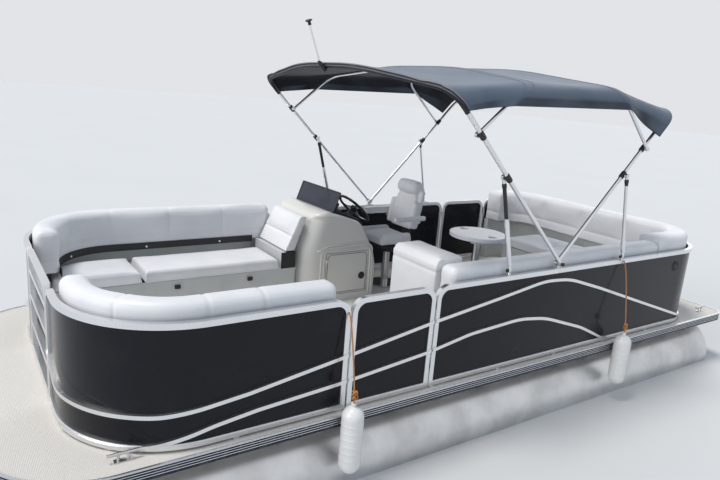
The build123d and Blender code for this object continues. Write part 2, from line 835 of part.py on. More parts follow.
def chair():
    hubLow = up(chairSeatUp - 100)
    base = Pos(chairX, chairY, up(0)) * extrude(Circle(150), 14)
    post = Pos(chairX, chairY, up(0)) * extrude(Circle(chairPostDia / 2), chairSeatUp - 30 - turnGap)
    keep("helm_chair_pedestal", base + post)
    hub = Pos(chairX, chairY, hubLow) * extrude(Circle(chairHubDia / 2), 100)
    bore = Pos(chairX, chairY, hubLow) * extrude(Circle(chairPostDia / 2 + hingeRun), 70)
    pan = box(chairX - 130, chairX + 200, chairY - chairHalf + 30, chairY + chairHalf - 30,
              up(chairSeatUp - 24), up(chairSeatUp))
    bracket = slab(((chairX - 130, up(chairSeatUp - 24)), (chairX - 130, up(chairSeatUp)),
                    (chairX - 210, up(chairSeatUp)), (chairX - 210, up(chairSeatUp + chairSeatThick)),
                    (chairX - 250, up(chairSeatUp + 330)), (chairX - 273, up(chairSeatUp + 330)),
                    (chairX - 232, up(chairSeatUp + chairSeatThick - 5)),
                    (chairX - 232, up(chairSeatUp - 24))), chairY + 60, chairY - 60)
    back = chairBack()
    keep("helm_chair_swivel", hub - bore + pan + (bracket - back))
    seat = box(chairX - 150, chairX + 230, chairY - chairHalf, chairY + chairHalf, up(chairSeatUp),
               up(chairSeatUp + chairSeatThick))
    keep("helm_chair_seat", softEdges(seat, 30))
    keep("helm_chair_back", back)
    for side in (1, -1):
        y0 = chairY + side * (chairHalf + 2)
        pad = box(chairX - 150, chairX + 130, y0, y0 + side * armPadWide, up(armPadUp), up(armPadUp + 60))
        arm = box(chairX - 200, chairX - 130, chairY + side * (chairHalf - 10), y0 + side * 14,
                  up(armPadUp - 30), up(armPadUp + 30))
        keep("helm_chair_armrests", pad + arm)


def chairBack():
    """Reclined shell with a head roll."""
    foot = up(chairSeatUp + chairSeatThick + softGap)
    front = chairX - 92
    half = chairHalf - 10
    profile = ((front, foot), (front - 120, foot), (front - 205, up(chairTop - 60)),
               (front - 205, up(chairTop)), (front - 70, up(chairTop)), (front - 70, up(chairTop - 130)),
               (front - 92, up(chairTop - 190)))
    return roundedSlab(profile, [20, 30, 60, 45, 55, 30, 30], chairY + half, chairY - half)


def table():
    top = up(tableUp)
    foot = Pos(tableX, tableY, up(0)) * extrude(Circle(110), 12)
    post = Pos(tableX, tableY, up(0)) * extrude(Circle(pedestalDia / 2), tableUp - tableThick - turnGap)
    keep("table_pedestal", foot + post)
    leaf = Pos(tableX, tableY, top - tableThick) * extrude(Circle(tableDia / 2), tableThick)
    leaf = fillet(leaf.edges(), 8)
    hubPlace = Pos(tableX, tableY, top - tableThick - tableHubDeep)
    hub = hubPlace * extrude(Circle(tableHubDia / 2), tableHubDeep)
    hub -= hubPlace * extrude(Circle(pedestalDia / 2 + hingeRun), tableHubDeep)
    leaf = leaf + hub
    for side in (1, -1):
        cup = Pos(tableX, tableY + side * (tableDia / 2 - cupDia / 2 - 34), top - cupDeep)
        leaf -= cup * extrude(Circle(cupDia / 2), cupDeep + 1)
    keep("table_top", leaf)


# Bimini: two main bows on one hinge, a secondary bow on each, and struts to the fence
def onBow(reach, angle, across):
    turned = math.radians(angle)
    return Vector(reach * math.cos(turned), across, up(hingeUp) + reach * math.sin(turned))


def hoop(start, angle, length, across, diameter):
    """Two legs and a crowned crossbar, in a plane that leans at an angle."""
    run = math.cos(math.radians(angle))
    rise = math.sin(math.radians(angle))
    points = []
    for reach, y in ((0, 1), (length, 1), (length + crown, crownShare), (length + crown, -crownShare),
                     (length, -1), (0, -1)):
        points.append((start.X + reach * run, across * y, start.Z + reach * rise))
    return pipe(points, [bowCorner, crownRadius, crownRadius, bowCorner], diameter)


def eyed(shape, spot, plane, diameter, pinDia):
    """Adds a drilled eye at both sides of a bow or strut."""
    half = diameter / 2 - eyeInset
    for side in (1, -1):
        shape += rod((spot.X, side * plane - half, spot.Z), (spot.X, side * plane + half, spot.Z),
                     diameter + eyeExtra)
    across = plane + diameter
    return shape - rod((spot.X, across, spot.Z), (spot.X, -across, spot.Z), pinDia + 2 * boltRun)


def jointSlides(reach, angle, plane, childPlane):
    """Sleeves clamped on a bow, each with the pin that carries a lighter tube beside it."""
    outward = 1 if childPlane > plane else -1
    sleeves = None
    for side in (1, -1):
        start = onBow(reach - slideLength / 2, angle, side * plane)
        end = onBow(reach + slideLength / 2, angle, side * plane)
        spot = onBow(reach, angle, 0)
        pinEnd = side * (childPlane + outward * (strutDia / 2 + 3))
        sleeve = rod(tuple(start), tuple(end), bowDia + eyeExtra)
        sleeve += rod((spot.X, side * plane, spot.Z), (spot.X, pinEnd, spot.Z), jointPinDia)
        sleeves = sleeve if sleeves is None else sleeves + sleeve
    return sleeves


def strutPair(eyeReach, angle, footX, plane):
    eye = onBow(eyeReach, angle, 0)
    pair = None
    for side in (1, -1):
        foot = (footX, side * plane, up(fenceTop + strutFootUp))
        strut = rod(foot, (eye.X, side * plane, eye.Z), strutDia)
        pair = strut if pair is None else pair + strut
    return eyed(pair, eye, plane, strutDia, jointPinDia)


def biminiFrame():
    hinge = Vector(0, 0, up(hingeUp))
    frontPivot = onBow(frontJoint, frontAngle, 0)
    rearPivot = onBow(rearJoint, rearAngle, 0)
    front = hoop(hinge, frontAngle, frontReach, outerPlane, bowDia)
    front = eyed(front, hinge, outerPlane, bowDia, hingeBoltDia)
    rear = hoop(hinge, rearAngle, rearReach, innerPlane, bowDia)
    rear = eyed(rear, hinge, innerPlane, bowDia, hingeBoltDia)
    for reach in (frontJoint, frontStrutAt):
        front += jointSlides(reach, frontAngle, outerPlane, innerPlane)
    for reach in (rearJoint, rearStrutAt):
        rear += jointSlides(reach, rearAngle, innerPlane, outerPlane)
    keep("bimini_front_bow", front)
    keep("bimini_rear_bow", rear)
    # Pivot, angle, length and lateral plane of the two lighter bows
    for node, pivot, angle, length, plane in (
            ("bimini_front_secondary_bow", frontPivot, frontSecondAngle, frontSecondReach, innerPlane),
            ("bimini_rear_secondary_bow", rearPivot, rearSecondAngle, rearSecondReach, outerPlane)):
        keep(node, eyed(hoop(pivot, angle, length, plane, strutDia), pivot, plane, strutDia, jointPinDia))
    keep("bimini_front_struts", strutPair(frontStrutAt, frontAngle, frontStrutFoot, innerPlane))
    keep("bimini_rear_struts", strutPair(rearStrutAt, rearAngle, rearStrutFoot, outerPlane))
    keep("bimini_mounts", *biminiMounts())


def biminiMounts():
    """Cheek plates that carry the hinge, and the pads under the strut feet."""
    hinge = up(hingeUp)
    cheekY = (outerPlane + innerPlane) / 2
    boltOver = bowDia / 2 + 4
    bolt = rod((0, innerPlane - boltOver, hinge), (0, outerPlane + boltOver, hinge), hingeBoltDia)
    cheek = box(-16, 16, cheekY - cheekThick / 2, cheekY + cheekThick / 2, up(fenceTop), hinge)
    cheek += rod((0, cheekY - cheekThick / 2, hinge), (0, cheekY + cheekThick / 2, hinge), 32)
    mounts = [box(-34, 34, fenceHalf - railSize, fenceHalf, up(fenceTop), up(fenceTop + 6)) + cheek + bolt]
    for footX, plane in ((frontStrutFoot, innerPlane), (rearStrutFoot, outerPlane)):
        sole = box(footX - 30, footX + 30, fenceHalf - railSize, plane + strutDia / 2,
                   up(fenceTop), up(fenceTop + 5))
        stub = extrude(Circle(strutDia / 2 - 1), strutFootUp - strutPadGap)
        sole += Pos(footX, plane, up(fenceTop)) * stub
        mounts.append(sole)
    return mounts + [mirrored(mount) for mount in mounts]


def canvasEdgeLine(half, length, drop):
    corners = ((-half, length - drop), (-half, length), (-half * crownShare, length + crown),
               (half * crownShare, length + crown), (half, length), (half, length - drop))
    return FilletPolyline(*corners, radius=[bowCorner, crownRadius, crownRadius, bowCorner])


def canopy():
    """Canvas over the four bows, straight between them, with a side valance down to a hem."""
    hinge = Vector(0, 0, up(hingeUp))
    # Start of each bow, its angle, its length and how far the canvas hangs down its legs
    bows = ((hinge, frontAngle, frontReach, frontDrop),
            (onBow(frontJoint, frontAngle, 0), frontSecondAngle, frontSecondReach, frontSecondDrop),
            (onBow(rearJoint, rearAngle, 0), rearSecondAngle, rearSecondReach, rearSecondDrop),
            (hinge, rearAngle, rearReach, rearDrop))
    rings = []
    for start, angle, length, drop in bows:
        lean = math.radians(angle)
        inner = canvasEdgeLine(canvasHalf - canvasThick, length + canvasLift, drop)
        outer = canvasEdgeLine(canvasHalf, length + canvasLift + canvasThick, drop + canvasThick)
        edges = outer.edges() + inner.edges() + [Line(outer @ 0, inner @ 0), Line(outer @ 1, inner @ 1)]
        place = Plane(start, x_dir=(0, 1, 0), z_dir=(math.sin(lean), 0, -math.cos(lean)))
        rings.append(place * make_face(edges))
    keep("bimini_canopy", loft(rings, ruled=True))


# Motor pod, outboard and ladder
def pod():
    step = deckAft - trimThick - 6
    profile = ((podFront, frameUnder), (step, frameUnder), (step, up(transomUp)), (transomX, up(transomUp)),
               (transomX, podBottom), (podFront - 350, podBottom))
    keep("motor_pod", slab(profile, podHalf, -podHalf))


def outboard():
    """Drawn in the running position, with distances behind the transom, then tilted up about its axle."""
    axleX = transomX + tiltBack
    axleZ = up(transomUp + tiltUp)
    axle = rod((axleX, clampY + clampThick, axleZ), (axleX, -clampY - clampThick, axleZ), tiltPinDia)
    for side in (1, -1):
        y0 = side * clampY
        y1 = side * (clampY + clampThick - 12)
        axle += box(transomX - 26, transomX, y0, y1, up(transomUp - 250), axleZ + 18)
        axle += box(transomX, axleX + 24, y0, y1, up(transomUp), axleZ + 18)
    keep("outboard_clamp", axle)

    place = Pos(axleX, 0, axleZ) * Rot(0, restTilt, 0)

    def block(behind0, behind1, half, z0, z1):
        return box(-behind1 - tiltBack, -behind0 - tiltBack, -half, half, z0, z1)

    def drum(behind0, behind1, z, diameter):
        return rod((-behind0 - tiltBack, 0, z), (-behind1 - tiltBack, 0, z), diameter)

    bracket = block(-tiltBack - 20, 36, clampY - 4, -20, 20) + block(36, 64, 42, -230, 20)
    bracket += Pos(-swivelBack - tiltBack, 0, -230) * extrude(Circle(swivelDia / 2), 250)
    bracket -= rod((0, clampY * 2, 0), (0, -clampY * 2, 0), tiltPinDia + 2 * boltRun)
    bracket -= Pos(-swivelBack - tiltBack, 0, -300) * extrude(Circle(kingpinDia / 2 + boltRun), 400)
    keep("outboard_swivel_bracket", place * bracket)
    leg = block(118, 250, 52, -560, 38) + block(90, 470, 105, -570, -560) + block(120, 400, 30, -700, -570)
    leg += drum(150, 430, propUp, 106) + gearCase(place=Pos(-tiltBack - 150, 0, propUp))
    leg += block(60, 120, 50, 22, 38) + block(60, 120, 50, -270, -232)
    leg += Pos(-swivelBack - tiltBack, 0, -250) * extrude(Circle(kingpinDia / 2), 280)
    leg += drum(420, propBack + hubHalf + 4, propUp, propShaftDia)
    leg += drum(propBack + hubHalf + 2, propBack + hubHalf + 14, propUp, propNutDia)
    keep("outboard_leg", place * leg)
    rear = -cowlFront - cowlLong
    top = cowlUnder + cowlHigh
    profile = ((-cowlFront, cowlUnder), (-cowlFront, top), (rear, top - cowlFall),
               (rear + cowlTuck, cowlUnder))
    narrow = cowlHalf - cowlTaper
    plan = outlined(((1 - cowlFront, narrow), (1 - cowlFront, -narrow), (rear - 1, -cowlHalf),
                     (rear - 1, cowlHalf)), [60, 60, 120, 120])
    cowl = roundedSlab(profile, [20, 90, 150, 60], cowlHalf, -cowlHalf) & plate(plan, 0, top + 1)
    shoulders = [edge for edge in cowl.edges() if abs(edge.center().Y) > cowlHalf - 1.5 * cowlTaper
                 and edge.center().Z > cowlUnder + 20]
    cowl = fillet(shoulders, cowlEdge)
    keep("outboard_cowl", place * cowl)
    prop = drum(propBack - hubHalf, propBack + hubHalf, propUp, 96)
    sweep0 = drum(propBack - 2 * hubHalf, propBack + 2 * hubHalf, propUp, propDia)
    for index in range(3):
        blade = Rot(0, 0, 25) * box(-44, 44, -4, 4, 40, propDia / 2)
        prop += Pos(-propBack - tiltBack, 0, propUp) * Rot(index * 120, 0, 0) * blade & sweep0
    prop -= drum(propBack - 2 * hubHalf, propBack + 2 * hubHalf, propUp, propShaftDia + 2 * boltRun)
    keep("propeller", place * prop)


def gearCase(place):
    """Pointed nose of the gear case and the skeg under it."""
    nose = place * (Rot(0, 90, 0) * Cone(53, 12, 70, align=(Align.CENTER, Align.CENTER, Align.MIN)))
    profile = ((-20, 0), (-230, 0), (-250, -170), (-170, -170))
    fin = Plane.XZ * make_face(Polyline(*profile, close=True).edges())
    return nose + place * (Pos(0, 4, 0) * extrude(fin, 8, dir=(0, -1, 0)))


def ladder():
    x = deckAft - trimThick - ladderStandOff
    foot = up(-10)
    sides = (-ladderY - ladderHalf, -ladderY + ladderHalf)
    frame = rod((x, sides[0], foot + ladderRise), (x, sides[1], foot + ladderRise), ladderTubeDia)
    for y in sides:
        frame += rod((x, y, foot), (x, y, foot + ladderRise), ladderTubeDia)
    for step in range(ladderSteps):
        z = foot + 110 + step * 110
        frame += box(x - 20, x + 10, sides[0], sides[1], z, z + 14)
    bore = rod((x, sides[0] - 40, foot), (x, sides[1] + 40, foot), ladderPinDia + 2 * boltRun)
    keep("boarding_ladder", frame - bore)
    for y, out in zip(sides, (-1, 1)):
        ear = y + out * (ladderTubeDia / 2 + 0.5)
        bracket = box(x - 14, deckAft - trimThick, ear, ear + out * 8, foot - 20, foot + 20)
        pin = rod((x, y - out * (ladderTubeDia / 2 + 4), foot), (x, ear + out * 8, foot), ladderPinDia)
        keep("ladder_mounts", bracket + pin)


# Deck fittings
def cleats():
    # Place of each port cleat along the deck and in from its edge
    for x, inset in ((2960, 105), (-2350, 115)):
        y = deckHalf - inset
        horn = rod((x - cleatLength / 2, y, up(cleatUp)), (x + cleatLength / 2, y, up(cleatUp)), cleatDia)
        horn += box(x - 45, x + 45, y - 16, y + 16, up(0), up(7))
        for shift in (-24, 24):
            horn += rod((x + shift, y, up(0)), (x + shift, y, up(cleatUp)), cleatDia - 2)
        keep("cleats", horn, mirrored(horn))


def lightPole():
    """Stern-light pole clamped on the front bow's crossbar, ahead of the canvas."""
    normal = Vector(math.sin(math.radians(frontAngle)), 0, -math.cos(math.radians(frontAngle)))
    bar = onBow(frontReach + crown, frontAngle, 0)
    low = onBow(frontReach + crown - 24, frontAngle, 0) + normal * 20
    high = onBow(frontReach + crown + 50, frontAngle, 0) + normal * 20
    clamp = rod(tuple(low), tuple(high), 34) - rod((bar.X, 60, bar.Z), (bar.X, -60, bar.Z), bowDia)
    tip = Vector(poleTip[0], poleTip[1], up(poleTip[2]))
    lean = (tip - high).normalized()
    pole = rod(tuple(high - lean * 20), tuple(tip), poleDia)
    head = rod(tuple(tip - lean * 70), tuple(tip), poleHeadDia)
    keep("light_pole", clamp + pole + head)


def cordAlong(points, diameter):
    """Round cord of straight runs joined by tangent arcs, each arc as wide as its runs allow."""
    spots = [Vector(*point) for point in points]
    radii = []
    for before, here, after in zip(spots, spots[1:], spots[2:]):
        halfTurn = math.radians((here - before).get_angle(after - here)) / 2
        shorter = min((here - before).length, (after - here).length)
        radii.append(0.45 * shorter / math.tan(halfTurn))
    print("cord radii", [round(radius, 1) for radius in radii])
    return pipe(points, radii, diameter)


def fenders():
    fenderY = deckHalf + trimThick + fenderOff + fenderDia / 2
    end = fenderDia / 2
    top = up(fenderTop)
    low = up(fenderTop - fenderLength)
    # Place along the boat and where the line meets the fence's frame
    for x, lineTop in ((portGateFront + railSize / 2, 604), (secondFenderX, fenceTop - railSize / 2)):
        body = rod((x, fenderY, low + end), (x, fenderY, top - end), fenderDia)
        body += Pos(x, fenderY, low + end) * Sphere(end) + Pos(x, fenderY, top - end) * Sphere(end)
        body += rod((x, fenderY, top - 8), (x, fenderY, top + fenderNeck), 26)
        keep("fenders", body)
        keep("fender_lines", cordAlong(((x, fenceHalf, up(lineTop)), (x, fenceHalf + 24, up(lineTop)),
                                        (x, fenderY, top + 80), (x, fenderY, top + fenderNeck)), lineDia))



pontoons()
crossMembers()
deck()
fence()
bowLounge(1, portLoungeAft, "port_bow_seat_lid", portLoungeAft + lidGap)
bowLounge(-1, starLoungeAft, "starboard_bow_seat_lid", starLidAft)
endRest()
aftLounge()
console()
wheel()
chair()
table()
biminiFrame()
canopy()
pod()
outboard()
ladder()
cleats()
lightPole()
fenders()

os.makedirs("parts", exist_ok=True)
for node, solids in parts.items():
    shape = solids[0] if len(solids) == 1 else Compound(children=solids)
    export_step(Pos(hingeToMidships, 0, 0) * shape, f"parts/{node}.step")
print(len(parts), "nodes")
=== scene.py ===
import bpy
import bmesh
import json
import math
import numpy as np
from mathutils import Matrix, Vector
from mathutils.noise import fractal


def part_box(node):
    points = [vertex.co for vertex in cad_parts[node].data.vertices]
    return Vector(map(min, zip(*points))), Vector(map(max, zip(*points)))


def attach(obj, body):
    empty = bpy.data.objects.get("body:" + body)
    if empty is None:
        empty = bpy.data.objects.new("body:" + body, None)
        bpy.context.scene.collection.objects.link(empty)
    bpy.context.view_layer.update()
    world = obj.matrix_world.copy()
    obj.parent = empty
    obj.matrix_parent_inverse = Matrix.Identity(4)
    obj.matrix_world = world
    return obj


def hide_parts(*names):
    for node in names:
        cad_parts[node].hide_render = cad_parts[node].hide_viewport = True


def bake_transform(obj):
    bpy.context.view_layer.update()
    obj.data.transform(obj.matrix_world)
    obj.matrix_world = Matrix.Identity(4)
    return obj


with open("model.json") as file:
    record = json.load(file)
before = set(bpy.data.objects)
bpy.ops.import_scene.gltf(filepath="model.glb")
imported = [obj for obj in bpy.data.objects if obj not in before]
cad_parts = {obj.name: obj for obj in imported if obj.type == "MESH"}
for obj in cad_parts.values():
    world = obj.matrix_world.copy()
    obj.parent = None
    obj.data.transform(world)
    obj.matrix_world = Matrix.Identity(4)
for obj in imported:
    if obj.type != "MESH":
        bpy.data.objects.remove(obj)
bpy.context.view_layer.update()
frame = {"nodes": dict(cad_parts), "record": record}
nodes = frame["nodes"]

# Places are metres from the bimini hinge, to port, and above the deck
hingeX = 0.13242
deckUp = 0.754


def at(x, y, up):
    return Vector((x + hingeX, y, up + deckUp))


# Camera, fitted to the photograph
view = {"place": at(3.559, 3.834, 1.802), "azimuth": -124.71, "elevation": -13.71, "roll": 4.51, "focal": 608.7,
        "pictureWidth": 720, "sensor": 36, "farthest": 200}


def placeCamera():
    azimuth, elevation, roll = [math.radians(view[key]) for key in ("azimuth", "elevation", "roll")]
    forward = Vector((math.cos(elevation) * math.cos(azimuth), math.cos(elevation) * math.sin(azimuth),
                      math.sin(elevation)))
    level = forward.cross(Vector((0, 0, 1))).normalized()
    upright = level.cross(forward)
    right = level * math.cos(roll) + upright * math.sin(roll)
    above = upright * math.cos(roll) - level * math.sin(roll)
    data = bpy.data.cameras.new("camera")
    data.sensor_width = view["sensor"]
    data.lens = view["focal"] / view["pictureWidth"] * view["sensor"]
    data.clip_end = view["farthest"]
    camera = linked("camera", data)
    turn = Matrix((right, above, -forward)).transposed().to_4x4()
    camera.matrix_world = Matrix.Translation(view["place"]) @ turn
    bpy.context.scene.camera = camera


# Meshes
def linked(name, data):
    piece = bpy.data.objects.new(name, data)
    bpy.context.scene.collection.objects.link(piece)
    return piece


def fromBmesh(name, bm, smooth=True):
    bmesh.ops.recalc_face_normals(bm, faces=bm.faces)
    mesh = bpy.data.meshes.new(name)
    bm.to_mesh(mesh)
    bm.free()
    if smooth:
        mesh.shade_smooth()
    return linked(name, mesh)


def fromArrays(name, points, faces):
    mesh = bpy.data.meshes.new(name)
    mesh.from_pydata([tuple(point) for point in points], [], faces)
    mesh.validate()
    bm = bmesh.new()
    bm.from_mesh(mesh)
    return fromBmesh(name, bm)


def sharp(piece, angle):
    mesh = piece.data
    mesh.shade_smooth()
    bm = bmesh.new()
    bm.from_mesh(mesh)
    limit = math.radians(angle)
    for edge in bm.edges:
        edge.smooth = len(edge.link_faces) == 2 and edge.calc_face_angle(0) < limit
    bm.to_mesh(mesh)
    bm.free()


def modify(piece, kind, **settings):
    modifier = piece.modifiers.new(kind.lower(), kind)
    for key, value in settings.items():
        setattr(modifier, key, value)
    return modifier


def coat(piece, finish, angle=None, replaced=()):
    piece.data.materials.clear()
    piece.data.materials.append(mats[finish])
    if angle:
        sharp(piece, angle)
    if replaced:
        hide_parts(*replaced)


def dress(piece, body, finish, angle=None, replaced=()):
    coat(piece, finish, angle, replaced)
    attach(piece, body)


def made(name, bm, body, finish, angle=None, replaced=()):
    dress(fromBmesh(name, bm), body, finish, angle, replaced)


placeCamera()
print("camera placed")


# Shader maths
class Wire:
    def __init__(self, shade, socket):
        self.shade = shade
        self.socket = socket

    def maths(self, operation, *others):
        return self.shade.node("ShaderNodeMath", {"operation": operation}, (self, *others))

    def __add__(self, other):
        return self.maths("ADD", other)

    def __sub__(self, other):
        return self.maths("SUBTRACT", other)

    def __rsub__(self, other):
        return self.shade.node("ShaderNodeMath", {"operation": "SUBTRACT"}, (other, self))

    def __mul__(self, other):
        return self.maths("MULTIPLY", other)

    def __gt__(self, other):
        return self.maths("GREATER_THAN", other)

    def __lt__(self, other):
        return self.maths("LESS_THAN", other)

    __radd__ = __add__
    __rmul__ = __mul__

    def abs(self):
        return self.maths("ABSOLUTE")

    def fract(self):
        return self.maths("FRACT")

    def floor(self):
        return self.maths("FLOOR")

    def sin(self):
        return self.maths("SINE")

    def capped(self):
        return self.shade.node("ShaderNodeClamp", {}, (self, 0.0, 1.0))

    def step(self, low, high):
        return self.shade.node("ShaderNodeMapRange", {"interpolation_type": "SMOOTHSTEP"}, (self, low, high, 0.0, 1.0))


class Shade:
    def __init__(self, name, **constants):
        self.material = bpy.data.materials.new(name)
        self.material.use_nodes = True
        self.tree = self.material.node_tree
        self.shader = self.tree.nodes["Principled BSDF"]
        for key, value in constants.items():
            self.shader.inputs[key.replace("_", " ")].default_value = value
        coordinates = self.tree.nodes.new("ShaderNodeTexCoord")
        self.place = Wire(self, coordinates.outputs["Object"])
        self.facing = Wire(self, coordinates.outputs["Normal"])

    def node(self, kind, settings, values=(), output=0):
        node = self.tree.nodes.new(kind)
        for key, value in settings.items():
            setattr(node, key, value)
        pairs = values.items() if isinstance(values, dict) else enumerate(values)
        for key, value in pairs:
            self.join(value, node.inputs[key])
        return Wire(self, node.outputs[output])

    def join(self, value, socket):
        if isinstance(value, Wire):
            self.tree.links.new(value.socket, socket)
        else:
            socket.default_value = value

    def axes(self, wire=None):
        split = self.node("ShaderNodeSeparateXYZ", {}, (wire or self.place,)).socket.node
        return [Wire(self, output) for output in split.outputs]

    def scaled(self, x, y, z):
        return self.node("ShaderNodeVectorMath", {"operation": "MULTIPLY"}, (self.place, (x, y, z)))

    def noise(self, scale, detail=3.0, roughness=0.5, vector=None):
        return self.node("ShaderNodeTexNoise", {}, {"Vector": vector or self.place, "Scale": scale, "Detail": detail,
                                                    "Roughness": roughness})

    def cells(self, scale, feature="F1"):
        return self.node("ShaderNodeTexVoronoi", {"feature": feature}, {"Vector": self.place, "Scale": scale})

    def blend(self, factor, first, second):
        first, second = [value if isinstance(value, Wire) else (*value, 1.0) for value in (first, second)]
        return self.node("ShaderNodeMix", {"data_type": "RGBA"}, {0: factor, 6: first, 7: second}, 2)

    def bump(self, height, strength, distance):
        return self.node("ShaderNodeBump", {}, {"Height": height, "Strength": strength, "Distance": distance})

    def finish(self, tone, rough, normal=None, **more):
        for key, value in {"Base Color": tone, "Roughness": rough, "Normal": normal, **more}.items():
            if value:
                self.join(value, self.shader.inputs[key])
        return self.material


def dimmed(colour, share):
    return tuple(channel * share for channel in colour)


def brushedMetal(name, colour, along, roughness, tarnish=0.12):
    shade = Shade(name, Metallic=1.0)
    stretch = {"x": (3, 260, 260), "y": (260, 3, 260), "z": (260, 260, 3)}[along]
    grain = shade.noise(1.0, 4, 0.6, shade.scaled(*stretch))
    cloud = shade.noise(2.6, 4, 0.6)
    tone = shade.blend(cloud.step(0.35, 0.7), colour, dimmed(colour, 1 - tarnish * 2))
    rough = roughness + (grain - 0.5) * 0.16 + (cloud - 0.5) * 0.2
    return shade.finish(tone, rough, shade.bump(grain, 0.08, 0.0006))


def satinAluminium(name, colour):
    shade = Shade(name, Metallic=1.0)
    grain = shade.noise(900, 2, 0.5)
    cloud = shade.noise(5, 3, 0.55)
    scuff = shade.cells(38, "DISTANCE_TO_EDGE").step(0.0, 0.02)
    tone = shade.blend((cloud - 0.4) * 0.8, colour, dimmed(colour, 0.82))
    rough = 0.3 + (cloud - 0.5) * 0.18 + (grain - 0.5) * 0.1 - (1 - scuff) * 0.03
    return shade.finish(tone, rough, shade.bump(grain, 0.05, 0.0003))


def motorPaint(name, colour, fleck):
    shade = Shade(name, Metallic=0.25, Coat_Weight=1.0, Coat_Roughness=0.04)
    flake = shade.cells(1600).step(0.0, 0.9)
    peel = shade.noise(70, 2, 0.5)
    dust = shade.noise(7, 5, 0.62).step(0.46, 0.8)
    tone = shade.blend(flake * 0.25, colour, fleck)
    tone = shade.blend(dust * 0.10, tone, (0.35, 0.35, 0.34))
    return shade.finish(tone, 0.12 + dust * 0.14, shade.bump(peel, 0.05, 0.0012))


def fencePanel(name, dark, paintedReflectionTone):
    shade = Shade(name, Coat_Weight=0.22, Coat_Roughness=0.06, Specular_IOR_Level=0.15)
    x, y, z = shade.axes()
    # Painted reflection: the port stern panel is lighter above the accent line
    x = x - hingeX
    rise = (z - deckUp) - (x + 0.12) * 0.315
    light = rise.step(0.590, 0.606) * (x < -0.12) * (y > 0) * (0.45 + (x < -0.66) * 0.55)
    peel = shade.noise(70, 2, 0.5)
    dust = shade.noise(5, 5, 0.62).step(0.5, 0.85)
    flake = shade.cells(1600).step(0.0, 0.9)
    tone = shade.blend(light, dark, paintedReflectionTone)
    tone = shade.blend(flake * 0.04, tone, (0.10, 0.10, 0.11))
    tone = shade.blend(dust * 0.02, tone, (0.30, 0.28, 0.26))
    return shade.finish(tone, 0.24 + dust * 0.12, shade.bump(peel, 0.05, 0.0012))


def ribbedTrim(name, groove, rib):
    shade = Shade(name)
    z = shade.axes()[2] - deckUp
    # A bright lip over three bright ribs
    bright = z > -0.0065
    for down in (0.045, 0.031, 0.017):
        bright = bright + ((z + down).abs() < 0.0028)
    bright = bright.capped()
    scuff = shade.noise(14, 5, 0.6).step(0.5, 0.8)
    tone = shade.blend(bright, groove, rib)
    tone = shade.blend(scuff * 0.12, tone, (0.32, 0.33, 0.35))
    grain = shade.noise(400, 2, 0.5)
    return shade.finish(tone, 0.26 + scuff * 0.2, shade.bump(grain, 0.05, 0.0004), Metallic=bright * 0.9)


def marineVinyl(name, colour, shadowed):
    shade = Shade(name, Coat_Weight=0.12, Coat_Roughness=0.3)
    grain = shade.cells(520, "SMOOTH_F1")
    fine = shade.noise(1400, 2, 0.5)
    cloud = shade.noise(3.2, 4, 0.6)
    tone = shade.blend(cloud.step(0.3, 0.75), colour, shadowed)
    tone = shade.blend(grain.step(0.3, 0.8) * 0.06, tone, (0.45, 0.46, 0.50))
    rough = 0.42 + (cloud - 0.5) * 0.16 + grain * 0.1
    return shade.finish(tone, rough, shade.bump(grain * 0.7 + fine * 0.3, 0.22, 0.0007))


def mouldedPlastic(name, colour, roughness=0.5, pebble=700, strength=0.2):
    shade = Shade(name)
    grain = shade.cells(pebble)
    cloud = shade.noise(4, 4, 0.6)
    tone = shade.blend(cloud.step(0.35, 0.75), colour, dimmed(colour, 0.9))
    return shade.finish(tone, roughness + (cloud - 0.5) * 0.15, shade.bump(grain, strength, 0.0006))


def restMount(name, dark, pale):
    # The face towards the seat is pale, and the end towards the aisle black
    shade = Shade(name)
    x, y, z = shade.axes()
    grain = shade.cells(800)
    face = (x - hingeX).step(1.296, 1.300) * (y < -0.4705)
    tone = shade.blend(face, dark, pale)
    return shade.finish(tone, 0.42 + grain * 0.08, shade.bump(grain, 0.2, 0.0006))


def gelCoat(name, colour, roughness=0.22):
    shade = Shade(name, Coat_Weight=0.5, Coat_Roughness=0.08)
    ripple = shade.noise(9, 2, 0.5)
    cloud = shade.noise(2.4, 4, 0.6)
    tone = shade.blend(cloud.step(0.3, 0.75) * 0.6, colour, dimmed(colour, 0.92))
    return shade.finish(tone, roughness + (cloud - 0.5) * 0.12, shade.bump(ripple, 0.05, 0.004))


def wovenDeck(name):
    shade = Shade(name)
    x, y, z = shade.axes()
    pitch = 1 / 0.007
    warp = ((x * pitch) * math.pi).sin().abs()
    weft = ((y * pitch) * math.pi).sin().abs()
    # Squares of the weave turn by turn along and across
    parity = (((x * pitch).floor() + (y * pitch).floor()) * 0.5).fract() > 0.25
    thread = parity * warp + (1 - parity) * weft
    cloud = shade.noise(2.2, 5, 0.65)
    yarn = shade.noise(1.0, 2, 0.5, shade.scaled(260, 40, 40))
    tone = shade.blend(thread, (0.40, 0.375, 0.345), (0.80, 0.775, 0.735))
    tone = shade.blend(yarn.step(0.45, 0.65) * 0.3, tone, (0.60, 0.57, 0.53))
    tone = shade.blend(cloud.step(0.42, 0.78) * 0.22, tone, (0.62, 0.59, 0.55))
    return shade.finish(tone, 0.72 + (cloud - 0.5) * 0.2, shade.bump(thread, 0.5, 0.0012))


